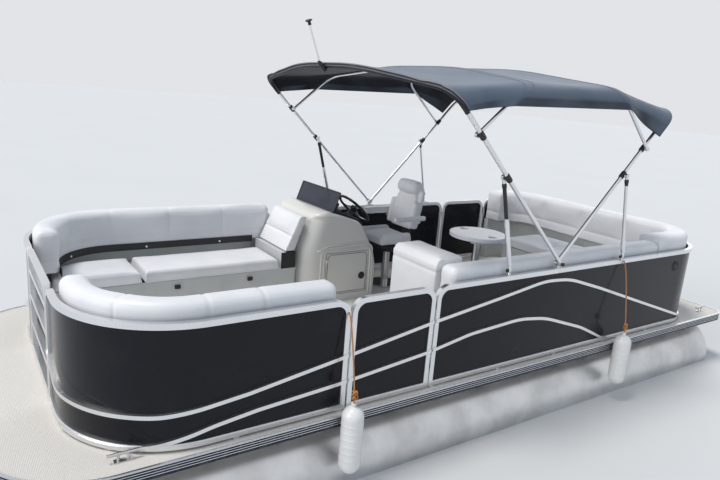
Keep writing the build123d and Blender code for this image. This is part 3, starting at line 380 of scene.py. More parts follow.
def canvasCloth(name, above, paintedShadeBeneath):
    shade = Shade(name, Sheen_Weight=0.08, Sheen_Roughness=0.4, Specular_IOR_Level=0.3)
    x, y, z = shade.axes()
    # Painted light: faces turned up take the colour above, and faces turned down take the painted shade beneath
    side = shade.axes(shade.facing)[2].step(-0.15, 0.15)
    weave = (x * 1900).sin().abs() * (y * 1900).sin().abs()
    cloud = shade.noise(2.4, 5, 0.6)
    tone = shade.blend(side, paintedShadeBeneath, above)
    tone = shade.blend(cloud.step(0.4, 0.75) * 0.2, tone, dimmed(above, 1.25))
    return shade.finish(tone, 0.62 + (cloud - 0.5) * 0.2 - side * 0.12, shade.bump(weave, 0.25, 0.0006))


def smokedScreen(name):
    shade = Shade(name, IOR=1.49)
    haze = shade.noise(12, 4, 0.6)
    tone = shade.blend(haze.step(0.4, 0.8) * 0.3, (0.012, 0.018, 0.040), (0.035, 0.045, 0.075))
    return shade.finish(tone, 0.05 + haze * 0.05, Alpha=0.88 + (haze - 0.5) * 0.08)


def braidedRope(name, colour):
    shade = Shade(name)
    x, y, z = shade.axes()
    twist = (z * 420 + x * 300 + y * 300).sin().abs()
    counter = (z * 420 - x * 300 - y * 300).sin().abs()
    fuzz = shade.noise(600, 3, 0.6)
    # Painted shade: the valleys between the braid's strands are darker
    tone = shade.blend((twist * counter).step(0.1, 0.8), dimmed(colour, 0.4), colour)
    tone = shade.blend(fuzz * 0.3, tone, (0.75, 0.45, 0.25))
    return shade.finish(tone, 0.75 + fuzz * 0.2, shade.bump(twist * counter, 0.6, 0.0015))


finishes = {
    "tube_aluminium": (brushedMetal, (0.72, 0.73, 0.74), "x", 0.36),
    "frame_aluminium": (brushedMetal, (0.58, 0.59, 0.60), "y", 0.45),
    "trim_aluminium": (satinAluminium, (0.74, 0.75, 0.76)),
    "rail_aluminium": (satinAluminium, (0.80, 0.81, 0.83)),
    "stainless": (brushedMetal, (0.62, 0.62, 0.63), "z", 0.2, 0.05),
    # The second panel colour is a painted reflection on the port stern panel
    "panel_charcoal": (fencePanel, (0.0030, 0.0034, 0.0075), (0.017, 0.016, 0.022)),
    "deck_trim": (ribbedTrim, (0.008, 0.013, 0.032), (0.62, 0.64, 0.67)),
    "motor_paint": (motorPaint, (0.010, 0.010, 0.012), (0.06, 0.06, 0.07)),
    "dial_face": (mouldedPlastic, (0.05, 0.055, 0.06), 0.2, 500, 0.05),
    "moulded_base": (mouldedPlastic, (0.60, 0.62, 0.61)),
    "upholstery": (marineVinyl, (0.78, 0.78, 0.80), (0.70, 0.71, 0.74)),
    "console_shell": (gelCoat, (0.72, 0.71, 0.68)),
    "table_top": (gelCoat, (0.70, 0.72, 0.76), 0.3),
    "dash_black": (mouldedPlastic, (0.012, 0.012, 0.014), 0.45, 900, 0.3),
    "rest_mount": (restMount, (0.014, 0.014, 0.016), (0.50, 0.51, 0.53)),
    "black_plastic": (mouldedPlastic, (0.014, 0.014, 0.014), 0.4, 800, 0.2),
    "deck_vinyl": (wovenDeck,),
    # The canvas colour beneath is painted shade under the canopy
    "canvas": (canvasCloth, (0.088, 0.118, 0.165), (0.008, 0.009, 0.013)),
    # Painted sunlight: the pocket and binding canvas is a lighter, sunlit copy of the canvas
    "canvas_pocket": (canvasCloth, (0.19, 0.19, 0.215), (0.012, 0.013, 0.018)),
    "smoked_glass": (smokedScreen,),
    "fender_vinyl": (gelCoat, (0.80, 0.80, 0.79), 0.3),
    "rope": (braidedRope, (0.70, 0.28, 0.06)),
}
mats = {name: maker(name.replace("_", " "), *values) for name, (maker, *values) in finishes.items()}
finishOf = {entry["node"]: entry["material_slot"] for entry in frame["record"]["subparts"]}
finishOf.update({"deck_trim": "deck_trim", "end_backrest_mount": "rest_mount"})
for name, piece in nodes.items():
    piece.data.materials.clear()
    piece.data.materials.append(mats[finishOf[name]])
print("materials made")

# Floor and light. Each lamp has its direction, strength, softness and colour
studio = {"waterline": 0.28, "floorHalf": 90, "daylight": (0.78, 0.88, 1.0), "strength": 0.56,
          "backdrop": (0.76, 0.775, 0.80), "lampDistance": 12,
          "lamps": {"key": ((0.34, -0.10, 0.93), 1.9, 16, (1.0, 0.97, 0.92)),
                    "fill": ((0.90, 0.02, 0.40), 1.0, 35, (1.0, 0.98, 0.96)),
                    "rim": ((-0.75, -0.45, 0.50), 0.35, 40, (0.95, 0.97, 1.0))}}


def floor():
    bm = bmesh.new()
    bmesh.ops.create_grid(bm, x_segments=1, y_segments=1, size=studio["floorHalf"])
    piece = fromBmesh("floor", bm, False)
    piece.location = (0, 0, studio["waterline"])
    shade = Shade("floor")
    tone = shade.blend(shade.noise(0.35, 3, 0.5), (0.63, 0.64, 0.65), (0.60, 0.61, 0.625))
    piece.data.materials.append(shade.finish(tone, 0.85))


def backdrop():
    world = bpy.data.worlds.new("world")
    bpy.context.scene.world = world
    world.use_nodes = True
    tree = world.node_tree
    light = tree.nodes["Background"]
    light.inputs[0].default_value = (*studio["daylight"], 1)
    light.inputs[1].default_value = studio["strength"]
    seen = tree.nodes.new("ShaderNodeBackground")
    seen.inputs[0].default_value = (*studio["backdrop"], 1)
    # Camera, gloss and glass see the backdrop, and the rest is lit by daylight
    path = tree.nodes.new("ShaderNodeLightPath")
    factor = path.outputs["Is Camera Ray"]
    for ray in ("Is Glossy Ray", "Is Transmission Ray"):
        either = tree.nodes.new("ShaderNodeMath")
        either.operation = "MAXIMUM"
        tree.links.new(factor, either.inputs[0])
        tree.links.new(path.outputs[ray], either.inputs[1])
        factor = either.outputs[0]
    mix = tree.nodes.new("ShaderNodeMixShader")
    for index, source in enumerate((factor, light.outputs[0], seen.outputs[0])):
        tree.links.new(source, mix.inputs[index])
    tree.links.new(mix.outputs[0], tree.nodes["World Output"].inputs[0])
    bpy.context.scene.view_settings.view_transform = "Standard"


def lamps():
    for name, (towards, power, soft, colour) in studio["lamps"].items():
        data = bpy.data.lights.new(name, "SUN")
        data.angle = math.radians(soft)
        data.energy = power
        data.color = colour
        lamp = linked(name, data)
        lamp.location = Vector(towards) * studio["lampDistance"]
        lamp.rotation_euler = Vector(towards).to_track_quat("Z", "Y").to_euler()


floor()
backdrop()
lamps()
print("stage set")


# Building blocks
def bridge(bm, first, second):
    count = max(len(first), len(second))
    for step in range(count):
        after = (step + 1) % count
        corners = (first[step % len(first)], first[after % len(first)], second[after % len(second)],
                   second[step % len(second)])
        unique = list(dict.fromkeys(corners))
        if len(unique) > 2:
            bm.faces.new(unique)


def addRing(bm, centre, across, other, radius, sides):
    turns = [step / sides * math.tau for step in range(sides)]
    return [bm.verts.new(centre + (across * math.cos(turn) + other * math.sin(turn)) * radius) for turn in turns]


def addLathe(bm, profile, start, axis, sides=28):
    # The profile is pairs of radius and distance along the axis
    axis = Vector(axis).normalized()
    across = axis.orthogonal().normalized()
    other = axis.cross(across)
    rings = []
    for radius, along in profile:
        centre = Vector(start) + axis * along
        if radius < 1e-6:
            rings.append([bm.verts.new(centre)])
        else:
            rings.append(addRing(bm, centre, across, other, radius, sides))
    for first, second in zip(rings, rings[1:]):
        bridge(bm, first, second)


def addTube(bm, spots, radius, sides=10, closed=False):
    spots = [Vector(spot) for spot in spots]
    count = len(spots)
    across = None
    rings = []
    for index, spot in enumerate(spots):
        before = spots[index - 1] if closed or index else spot
        after = spots[(index + 1) % count] if closed or index < count - 1 else spot
        ahead = (after - before).normalized()
        across = across or ahead.orthogonal()
        across = (across - ahead * across.dot(ahead)).normalized()
        size = radius[index] if isinstance(radius, (list, tuple)) else radius
        rings.append(addRing(bm, spot, across, ahead.cross(across), size, sides))
    for first, second in zip(rings, rings[1:]):
        bridge(bm, first, second)
    if closed:
        bridge(bm, rings[-1], rings[0])
    else:
        bm.faces.new(rings[0][::-1])
        bm.faces.new(rings[-1])


def joinTo(bm, part, turn=None):
    if turn:
        part.transform(turn)
    mesh = bpy.data.meshes.new("part")
    part.to_mesh(mesh)
    part.free()
    bm.from_mesh(mesh)
    bpy.data.meshes.remove(mesh)


def addBlock(bm, low, high, bevel, turn=None, segments=3):
    block = bmesh.new()
    bmesh.ops.create_cube(block, size=1)
    for vert in block.verts:
        vert.co = (low + high) / 2 + Vector([a * b for a, b in zip(vert.co, high - low)])
    bmesh.ops.bevel(block, geom=block.edges[:], offset=bevel, segments=segments, profile=0.5, affect="EDGES")
    joinTo(bm, block, turn)


def turned(name, body, finish, angle, lathes, replaced=()):
    bm = bmesh.new()
    for lathe in lathes:
        addLathe(bm, *lathe)
    made(name, bm, body, finish, angle, replaced)


def applied(piece):
    graph = bpy.context.evaluated_depsgraph_get()
    mesh = bpy.data.meshes.new_from_object(piece.evaluated_get(graph))
    piece.modifiers.clear()
    piece.data = mesh
    return piece


def leaned(pivot, degrees):
    turn = Matrix.Rotation(math.radians(degrees), 4, Vector((0, 1, 0)))
    return Matrix.Translation(pivot) @ turn @ Matrix.Translation(-pivot)


def solidsOf(node):
    bm = bmesh.new()
    bm.from_mesh(nodes[node].data)
    bmesh.ops.remove_doubles(bm, verts=bm.verts, dist=1e-5)
    return bm


def softened(name, node, width, segments=3):
    bm = solidsOf(node)
    bmesh.ops.dissolve_limit(bm, angle_limit=math.radians(1), verts=bm.verts, edges=bm.edges)
    piece = fromBmesh(name, bm, False)
    modify(piece, "BEVEL", width=width, segments=segments, limit_method="ANGLE", angle_limit=math.radians(12))
    return applied(piece)


def alongLine(line):
    return sum((b - a).length for a, b in zip(line, line[1:]))


def roundedLine(points, radii, counts):
    # Corners get their radii, and counts are the steps of a straight and of a corner
    flat = [Vector((*point, 0)) for point in points]
    sampled = []
    start = flat[0]
    for index in range(1, len(flat) - 1):
        corner = flat[index]
        back = (flat[index - 1] - corner).normalized()
        ahead = (flat[index + 1] - corner).normalized()
        half = back.angle(ahead) / 2
        reach = radii[index - 1] / math.tan(half)
        first = corner + back * reach
        centre = corner + (back + ahead).normalized() * (radii[index - 1] / math.sin(half))
        arm = first - centre
        span = arm.angle(corner + ahead * reach - centre)
        turn = 1 if arm.cross(corner + ahead * reach - centre).z > 0 else -1
        sampled += [start.lerp(first, step / counts[0]) for step in range(counts[0])]
        for step in range(counts[1]):
            sampled.append(centre + Matrix.Rotation(turn * span * step / counts[1], 3, "Z") @ arm)
        start = corner + ahead * reach
    sampled += [start.lerp(flat[-1], step / counts[0]) for step in range(counts[0] + 1)]
    return [(point.x, point.y) for point in sampled]


# Fender lines, each with its place along the boat and the height at which it leaves the fence
fender = {"diameter": 0.009, "spots": ((1.766, 0.604), (-0.800, 0.664)), "fence": 1.196, "overRail": 1.220,
          "out": 1.313, "top": 0.110, "foot": -0.330,
          "ribs": (0.105, 0.147, 0.189, 0.231, 0.273, 0.315),
          "rib": ((0.0640, -0.007), (0.0660, -0.004), (0.0660, 0.004), (0.0640, 0.007)),
          "collar": ((0.0120, 0.428), (0.0155, 0.430), (0.0155, 0.436), (0.0120, 0.438)),
          "knots": ((1.313, 0.146, 0.0056), (1.3115, 0.170, 0.0048)), "strand": 0.0046}


def fenderLines():
    for number, (x, high) in enumerate(fender["spots"], 1):
        top = fender["top"]
        route = (at(x, fender["fence"], high), at(x, fender["overRail"], high), at(x, fender["out"], top + 0.060),
                 at(x, fender["out"], top))
        data = bpy.data.curves.new(f"fender_line_{number}", "CURVE")
        data.dimensions = "3D"
        spline = data.splines.new("NURBS")
        spline.points.add(len(route) - 1)
        for point, place in zip(spline.points, route):
            point.co = (*place, 1)
        spline.order_u = 3
        spline.use_endpoint_u = True
        spline.resolution_u = 24
        data.bevel_depth = fender["diameter"] / 2
        data.bevel_resolution = 5
        data.use_fill_caps = True
        piece = linked(f"fender_line_{number}", data)
        data.materials.append(mats["rope"])
        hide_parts("fender_lines")
        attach(piece, "hull")
        round(alongLine(route), 3)


def fenderRibs():
    # Raised ribs and collars round the CAD fenders
    upward = (0, 0, 1)
    lathes = []
    for x, high in fender["spots"]:
        foot = at(x, fender["out"], fender["foot"])
        for along in fender["ribs"]:
            lathes.append(([(radius, along + shift) for radius, shift in fender["rib"]], foot, upward, 40))
        lathes.append((fender["collar"], foot, upward, 24))
    turned("fender_ribs", "hull", "fender_vinyl", 50, lathes)


def fenderKnots():
    # Stopper knots above each fender
    turns = [step / 60 * math.tau for step in range(60)]
    bm = bmesh.new()
    for x, high in fender["spots"]:
        for out, up, size in fender["knots"]:
            loop = [at(x, out, up) + Vector((math.sin(turn) + 2 * math.sin(2 * turn),
                                             math.cos(turn) - 2 * math.cos(2 * turn), -1.6 * math.sin(3 * turn))) * size
                    for turn in turns]
            addTube(bm, loop, fender["strand"], 8, True)
    made("fender_knots", bm, "hull", "rope")


fenderLines()
fenderRibs()
fenderKnots()
print("fender lines made")

# Canvas. Each bow has its pivot, angle, length of the legs and drop of the hem
canvas = {"half": 1.2355, "thick": 0.0035, "lift": 0.0240, "crown": 0.160, "crownShare": 0.3, "crownRadius": 2.4,
          "corner": 0.160, "along": 20, "sag": 0.028, "binding": 0.0075, "hem": 0.0042, "stitch": 0.0012,
          "stitchLift": 0.0026, "pocket": 0.0168, "pocketFold": 0.0006,
          "bows": ((at(0, 0, 0.722), 43.5, 1.632, 0.170), (at(0.9285, 0, 1.6031), 140, 0.480, 0.215),
                   (at(-0.8032, 0, 1.545), 42, 0.590, 0.200), (at(0, 0, 0.722), 134.3, 1.530, 0.265))}


def canvasRing(pivot, angle, length, drop, extra=0.0):
    half = canvas["half"] + extra
    reach = length + canvas["lift"] + extra
    peak = reach + canvas["crown"]
    share = half * canvas["crownShare"]
    radii = [canvas["corner"], canvas["crownRadius"], canvas["crownRadius"], canvas["corner"]]
    line = roundedLine(((-half, reach - drop), (-half, reach), (-share, peak), (share, peak), (half, reach),
                        (half, reach - drop)), radii, (8, 8))
    lean = math.radians(angle)
    return [pivot + Vector((math.cos(lean) * up, across, math.sin(lean) * up)) for across, up in line]


def canvasSpot(first, last, section, share):
    spot = first.lerp(last, share)
    side = abs(spot.y) / canvas["half"]
    # The top sags between bows, and the valance pulls in and hangs in soft folds
    dip = math.sin(math.pi * share)
    top = max(0.0, 1 - (side / 0.97) ** 8)
    spot.z -= canvas["sag"] * dip * top * (1.0 - 0.3 * side)
    low = max(0.0, min(1.0, (side - 0.93) / 0.07))
    wave = fractal(Vector((spot.x * 2.6, math.copysign(1, spot.y) * 3, spot.z * 1.5)), 1.0, 2.0, 3)
    spot.y -= math.copysign(low * dip * (0.016 + wave * 0.022), spot.y)
    if section == 0:
        # Wrinkles run in from the front corners
        pull = max(0.0, 1 - share / 0.6) * max(0.0, 1 - abs(side - 0.84) / 0.2)
        spot.z -= pull * 0.010 * (0.5 + 0.5 * math.sin(abs(spot.y) * 62 - spot.x * 48))
    spot.z += fractal(Vector((spot.x * 3.7, spot.y * 3.1, 0.7)), 1.0, 2.0, 4) * 0.004 * top * (0.2 + dip)
    return spot


def canvasRows():
    rings = [canvasRing(*bow) for bow in canvas["bows"]]
    stations = [(section, step / canvas["along"]) for section in range(3) for step in range(canvas["along"])]
    rows = []
    for section, share in stations + [(2, 1.0)]:
        pairs = zip(rings[section], rings[section + 1])
        rows.append([canvasSpot(first, last, section, share) for first, last in pairs])
    return rows


def canvasTop(rows):
    across = len(rows[0])
    faces = []
    for i in range(len(rows) - 1):
        for j in range(across - 1):
            a = i * across + j
            faces.append((a, a + 1, a + across + 1, a + across))
    piece = fromArrays("canopy", [spot for row in rows for spot in row], faces)
    modify(piece, "SOLIDIFY", thickness=canvas["thick"], offset=0)
    modify(piece, "SUBSURF", levels=1)
    applied(piece).data.shade_smooth()
    return piece


def sewn(name, lines, size, sides):
    bm = bmesh.new()
    for line in lines:
        addTube(bm, line, size, sides)
    return fromBmesh(name, bm)


def canopy():
    rows = canvasRows()
    columns = list(zip(*rows))
    top = canvasTop(rows)
    binding = sewn("canopy_binding", [rows[0]], canvas["binding"], 8)
    # Pocket sewn round the front bow, in the lighter canvas that paints sunlight
    line = canvasRing(*canvas["bows"][0], extra=-canvas["lift"])
    folds = [canvas["pocket"] + canvas["pocketFold"] * math.sin(index * 1.9) for index in range(len(line))]
    dress(sewn("canopy_pocket", [line], folds, 14), "bimini_front", "canvas_pocket", 60)
    hem = sewn("canopy_hem", [columns[0], columns[-1], rows[-1]], canvas["hem"], 6)
    stitches = [[spot + Vector((0, 0, canvas["stitchLift"])) for spot in rows[seam * canvas["along"] + shift][4:-4]]
                for seam in (1, 2) for shift in (-1, 1)]
    stitching = sewn("canopy_stitching", stitches, canvas["stitch"], 5)
    for piece, finish, replaced in ((top, "canvas", ("bimini_canopy",)), (binding, "canvas_pocket", ()),
                                    (hem, "canvas", ()), (stitching, "canvas", ())):
        coat(piece, finish, None, replaced)
        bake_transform(piece)
    wide = sum(alongLine(row) for row in rows) / len(rows)
    long = sum(alongLine(column) for column in columns) / len(columns)


canopy()
print("canopy made")

# Upholstery: closed forms blown up by one cloth run, held at seams, undersides and backs
blowing = {"pressure": 4.0, "frames": 20, "quality": 4, "bending": 2, "heldFoot": 0.012, "channel": 0.0045, "fill": 0.8}
cushions = []


def solidNear(node, place):
    # The one solid of a node whose middle is nearest to the place
    bm = solidsOf(node)
    groups = []
    seen = set()
    for vert in bm.verts:
        if vert in seen:
            continue
        stack = [vert]
        group = []
        seen.add(vert)
        while stack:
            here = stack.pop()
            group.append(here)
            fresh = [edge.other_vert(here) for edge in here.link_edges]
            fresh = [other for other in fresh if other not in seen]
            seen.update(fresh)
            stack += fresh
        groups.append(group)
    groups.sort(key=lambda group: (sum((vert.co for vert in group), Vector()) / len(group) - at(*place)).length)
    bmesh.ops.delete(bm, geom=[vert for group in groups[1:] for vert in group], context="VERTS")
    return fromBmesh(node + "_form", bm, False)


def rowsOf(layer, key):
    values = np.empty(len(layer) * 3)
    layer.foreach_get(key, values)
    return values.reshape(-1, 3)


def spotsOf(piece):
    return rowsOf(piece.data.vertices, "co")


def normalsOf(piece):
    return rowsOf(piece.data.vertex_normals, "vector")


def setSpots(piece, spots):
    piece.data.vertices.foreach_set("co", spots.reshape(-1))
    piece.data.update()


def againstFence(spots, normals):
    # Direction from the cockpit's middle line out to the fence
    out = np.stack([spots[:, 0] - np.clip(spots[:, 0], -1.5, 2.65), spots[:, 1], np.zeros(len(spots))], 1)
    out = out / np.maximum(np.linalg.norm(out, axis=1), 1e-6)[:, None]
    return (out * normals).sum(1) > 0.6


def bowRestHold(spots, normals):
    # The foot of the rest tucks in behind the snap strip
    return againstFence(spots, normals) | (spots[:, 2] < deckUp + 0.510)


def facingAft(limit):
    return lambda spots, normals: normals[:, 0] < -limit


def cushion(name, form, body, node, seams=(), voxel=0.011, inset=0.007, swell=0.024, keep=None, rounds=4):
    modify(form, "REMESH", mode="VOXEL", voxel_size=voxel)
    piece = applied(form)
    piece.name = name
    piece.data.name = name
    setSpots(piece, spotsOf(piece) - normalsOf(piece) * inset)
    spots = spotsOf(piece)
    held = spots[:, 2] < spots[:, 2].min() + blowing["heldFoot"]
    for seam in seams:
        held |= np.abs(seam(spots)) < voxel * 0.75
    if keep:
        held |= keep(spots, normalsOf(piece))
    piece.vertex_groups.new(name="held").add(np.nonzero(held)[0].tolist(), 1.0, "REPLACE")
    cushions.append({"piece": piece, "body": body, "node": node, "seams": seams, "voxel": voxel, "swell": swell,
                     "rounds": rounds, "rest": spots})


def blowUp():
    for entry in cushions:
        cloth = modify(entry["piece"], "CLOTH")
        settings = cloth.settings
        settings.quality = blowing["quality"]
        settings.use_pressure = True
        settings.uniform_pressure_force = blowing["pressure"]
        settings.vertex_group_mass = "held"
        settings.effector_weights.gravity = 0
        settings.bending_stiffness = blowing["bending"]
        cloth.collision_settings.use_collision = False
        cloth.point_cache.frame_start = 1
        cloth.point_cache.frame_end = blowing["frames"]
    for number in range(1, blowing["frames"] + 1):
        bpy.context.scene.frame_set(number)
    for entry in cushions:
        applied(entry["piece"])


def evened(piece, moved, rounds):
    # Evens out the small buckles that the blowing leaves
    mesh = piece.data
    ends = np.empty(len(mesh.edges) * 2, dtype=np.int64)
    mesh.edges.foreach_get("vertices", ends)
    first, second = ends.reshape(-1, 2).T
    near = np.bincount(ends, minlength=len(moved))[:, None]
    still = np.linalg.norm(moved, axis=1) < 1e-6
    for step in range(rounds):
        total = np.stack([np.bincount(first, moved[second, axis], len(moved))
                          + np.bincount(second, moved[first, axis], len(moved)) for axis in range(3)], 1)
        moved = total / np.maximum(near, 1)
        moved[still] = 0
    return moved


def finishCushions():
    blowUp()
    for entry in cushions:
        piece = entry["piece"]
        moved = spotsOf(piece) - entry["rest"]
        reach = np.linalg.norm(moved, axis=1)
        factor = np.where(reach > entry["swell"], entry["swell"] / np.maximum(reach, 1e-9), 1.0)
        spots = entry["rest"] + evened(piece, moved * factor[:, None], entry["rounds"])
        setSpots(piece, spots)
        normals = normalsOf(piece)
        # Sewn channels go in after the swelling
        for seam in entry["seams"]:
            depth = blowing["channel"] * np.exp(-(seam(spots) / (entry["voxel"] * 0.8)) ** 2)
            spots = spots - normals * depth[:, None]
        setSpots(piece, spots)
        piece.data.shade_smooth()
        dress(piece, entry["body"], "upholstery", None, (entry["node"],))
    bpy.context.scene.frame_set(1)


def seamX(*values):
    return [lambda spots, x=value: spots[:, 0] - (x + hingeX) for value in values]


def seamY(*values):
    return [lambda spots, y=value: spots[:, 1] - y for value in values]


def seamUp(*values):
    return [lambda spots, z=value: spots[:, 2] - (z + deckUp) for value in values]


def seamTurn(x, y, degrees):
    # Upright seam out from the middle of a round corner
    turn = math.radians(degrees)

    def distance(spots):
        ahead = spots[:, 0] - x - hingeX
        aside = spots[:, 1] - y
        across = ahead * math.sin(turn) - aside * math.cos(turn)
        return np.where(ahead * math.cos(turn) + aside * math.sin(turn) > 0, across, 1.0)
    return [distance]


# Console: a moulded skin of rounded plan rings. Nose and slope are places along the boat with their heights,
# and a moulding has its corners, their radii and its size
console = {"inner": -0.430, "outer": -1.140, "top": 0.80, "crest": 0.045, "frontRound": 0.165, "aftRound": 0.055,
           "wall": 0.010, "doorAft": 0.500, "doorFront": 0.940, "doorFoot": 0.060, "doorTop": 0.440,
           "nose": ((1.195, 0.0), (1.195, 0.430), (1.100, 0.730), (1.055, 0.775), (0.945, 0.7985)),
           "noseRounds": (0.30, 0.08, 0.07),
           "slope": ((0.400, 0.0), (0.400, 0.300), (0.430, 0.420), (0.565, 0.655), (0.625, 0.705), (0.830, 0.772),
                     (0.925, 0.7985)),
           "slopeRounds": (0.30, 0.30, 0.15, 0.10, 0.12),
           "heights": (0.001, 0.06, 0.14, 0.22, 0.30, 0.37, 0.44, 0.485, 0.53, 0.57, 0.61, 0.64, 0.66, 0.68, 0.70,
                       0.715, 0.73, 0.742, 0.753, 0.762, 0.770, 0.777, 0.783, 0.788, 0.792, 0.795, 0.798),
           "mouldings": ((((0.958, 0.04), (0.958, 0.458), (0.486, 0.470), (0.478, 0.04)), (0.05, 0.05), 0.0065),
                         (((0.990, 0.04), (0.990, 0.482), (0.470, 0.500), (0.448, 0.04)), (0.06, 0.06), 0.0065),
                         (((1.030, 0.462), (0.93, 0.500), (0.60, 0.520), (0.530, 0.515)), (0.12, 0.6), 0.0055)),
           "groove": ((0.719, 0.078), (0.922, 0.078), (0.922, 0.422), (0.518, 0.422), (0.518, 0.078), (0.719, 0.078)),
           "grooveRounds": (0.012, 0.040, 0.040, 0.012), "grooveSize": 0.0021,
           "latch": ((0, 0.011), (0.018, 0.011), (0.022, 0.008), (0.024, 0.0), (0.031, -0.001), (0.033, 0.004),
                     (0.029, 0.008), (0.0245, 0.008))}


def consoleRing(up, nose, slope):
    front = float(np.interp(up, [z for x, z in nose], [x for x, z in nose]))
    aft = float(np.interp(up, [z for x, z in slope], [x for x, z in slope]))
    # The rounds shrink where the top narrows
    short = (front - aft) / 2.3
    ahead = min(console["frontRound"], short)
    behind = min(console["aftRound"], short)
    past = max(0.0, up - console["top"] + console["crest"]) / console["crest"]
    draw = console["crest"] * (1 - math.sqrt(max(0.0, 1 - past * past)))
    inner = console["inner"] - draw
    outer = console["outer"] + draw
    flat = [front - ahead, console["doorFront"], 0.80, 0.65, console["doorAft"], aft + behind]
    if up > console["doorTop"] + 0.001:
        flat = [flat[0] + (flat[-1] - flat[0]) * share for share in (0, 0.113, 0.357, 0.617, 0.878, 1)]

    def arc(x, y, radius, start):
        turns = [math.radians(start + 90 * step / 8) for step in range(1, 8)]
        return [(x + radius * math.cos(turn), y + radius * math.sin(turn)) for turn in turns]

    ring = arc(front - ahead, inner - ahead, ahead, 0) + [(x, inner) for x in flat]
    ring += arc(aft + behind, inner - behind, behind, 90)
    ring += [(aft, inner - behind - (inner - outer - 2 * behind) * share) for share in (0, 0.33, 0.67, 1)]
    ring += arc(aft + behind, outer + behind, behind, 180) + [(x, outer) for x in flat[::-1]]
    ring += arc(front - ahead, outer + ahead, ahead, 270)
    ring += [(front, outer + ahead + (inner - outer - 2 * ahead) * share) for share in (0, 0.33, 0.67, 1)]
    return [at(x, y, up) for x, y in ring]


def consoleSkin():
    nose = roundedLine(console["nose"], console["noseRounds"], (6, 8))
    slope = roundedLine(console["slope"], console["slopeRounds"], (6, 8))
    rings = [consoleRing(up, nose, slope) for up in console["heights"]]
    bm = bmesh.new()
    rows = [[bm.verts.new(spot) for spot in ring] for ring in rings]
    count = len(rings[0])
    for level, (first, second) in enumerate(zip(rows, rows[1:])):
        for step in range(count):
            after = (step + 1) % count
            middle = (rings[level][step] + rings[level][after]) / 2 - at(0, 0, 0)
            inDoor = console["doorAft"] < middle.x < console["doorFront"] and middle.y > console["inner"] - 0.01
            if inDoor and console["doorFoot"] - 0.01 < middle.z < console["doorTop"] - 0.01:
                continue
            bm.faces.new((first[step], first[after], second[after], second[step]))
    bm.faces.new(rows[-1])
    piece = fromBmesh("console_skin", bm)
    modify(piece, "SOLIDIFY", thickness=console["wall"], offset=-1)
    dress(applied(piece), "hull", "console_shell", 40, ("console_shell",))


def consoleTrim():
    # Moulded steps round the door, the arch above them, and the door's groove and latch
    inner = console["inner"]
    bm = bmesh.new()
    for corners, radii, size in console["mouldings"]:
        addTube(bm, [at(x, inner + 0.0008, up) for x, up in roundedLine(corners, radii, (10, 8))], size, 10)
    made("console_mouldings", bm, "hull", "console_shell")
    groove = roundedLine(console["groove"], console["grooveRounds"], (6, 8))[:-1]
    bm = bmesh.new()
    addTube(bm, [at(x, inner + 0.0002, up) for x, up in groove], console["grooveSize"], 8, True)
    made("door_groove", bm, "console_door", "dash_black")
    bm = bmesh.new()
    addLathe(bm, console["latch"], at(0.565, inner + 0.001, 0.211), (0, 1, 0), 32)
    addBlock(bm, at(0.550, inner + 0.007, 0.207), at(0.580, inner + 0.015, 0.215), 0.003)
    made("door_latch", bm, "console_door", "black_plastic", 35)


# Dash: hood, gauges, switches and the frame of the screen
dash = {"x": 0.700, "up": 0.756, "tilt": 18, "fall": 0.327,
        "dials": ((-0.700, 0.036), (-0.790, 0.044), (-0.880, 0.036)),
        "screenNear": -0.460, "screenFoot": (0.882, 0.787), "screenHead": (0.822, 0.9515), "frame": 0.0075}


def dashParts():
    dress(softened("dash_hood", "dash_panel", 0.009), "hull", "dash_black", 40, ("dash_panel",))
    tilt = Vector((-math.sin(math.radians(dash["tilt"])), 0, math.cos(math.radians(dash["tilt"]))))
    bezels = bmesh.new()
    dials = bmesh.new()
    for y, size in dash["dials"]:
        base = at(dash["x"], y, dash["up"]) + tilt * 0.0005
        addLathe(bezels, ((size + 0.006, -0.004), (size + 0.006, 0.005), (size + 0.002, 0.009), (size - 0.003, 0.007),
                          (size - 0.004, 0.003), (0, 0.002)), base, tilt, 36)
        addLathe(dials, ((size - 0.006, 0.0028), (size - 0.012, 0.0034), (0, 0.0034)), base, tilt, 36)
    for index in range(6):
        x = 0.655 + 0.028 * (index // 3)
        foot = at(x, -0.575 + 0.03 * (index % 3), dash["up"] - (dash["x"] - x) * dash["fall"])
        addBlock(bezels, foot - Vector((0.009, 0.007, 0.002)), foot + Vector((0.009, 0.007, 0.008)), 0.003)
    made("dash_bezels", bezels, "hull", "black_plastic", 35)
    made("dash_dials", dials, "hull", "dial_face", 35)


def screenFrame():
    (footX, footUp), (headX, headUp) = dash["screenFoot"], dash["screenHead"]
    outline = roundedLine(((0.0, 0.0), (0.65, 0.0), (0.65, 1.0), (0.0, 1.0), (0.0, 0.0)), [0.012] * 3, (6, 4))[:-1]
    spots = [at(footX + (headX - footX) * share, dash["screenNear"] - across, footUp + (headUp - footUp) * share)
             for across, share in outline]
    bm = bmesh.new()
    addTube(bm, spots, dash["frame"], 8, True)
    made("screen_frame", bm, "hull", "black_plastic")


# Steering wheel
wheel = {"hub": at(0.455, -0.785, 0.742), "rake": 46, "rim": 0.167, "grip": 0.0125,
         "boss": ((0, 0.018), (0.026, 0.018), (0.036, 0.012), (0.038, -0.002), (0.030, -0.018), (0.0095, -0.020),
                  (0.0095, -0.032)),
         "spoke": ((-1, 0), (-0.7, 1), (0.7, 1), (1, 0), (0.7, -1), (-0.7, -1))}


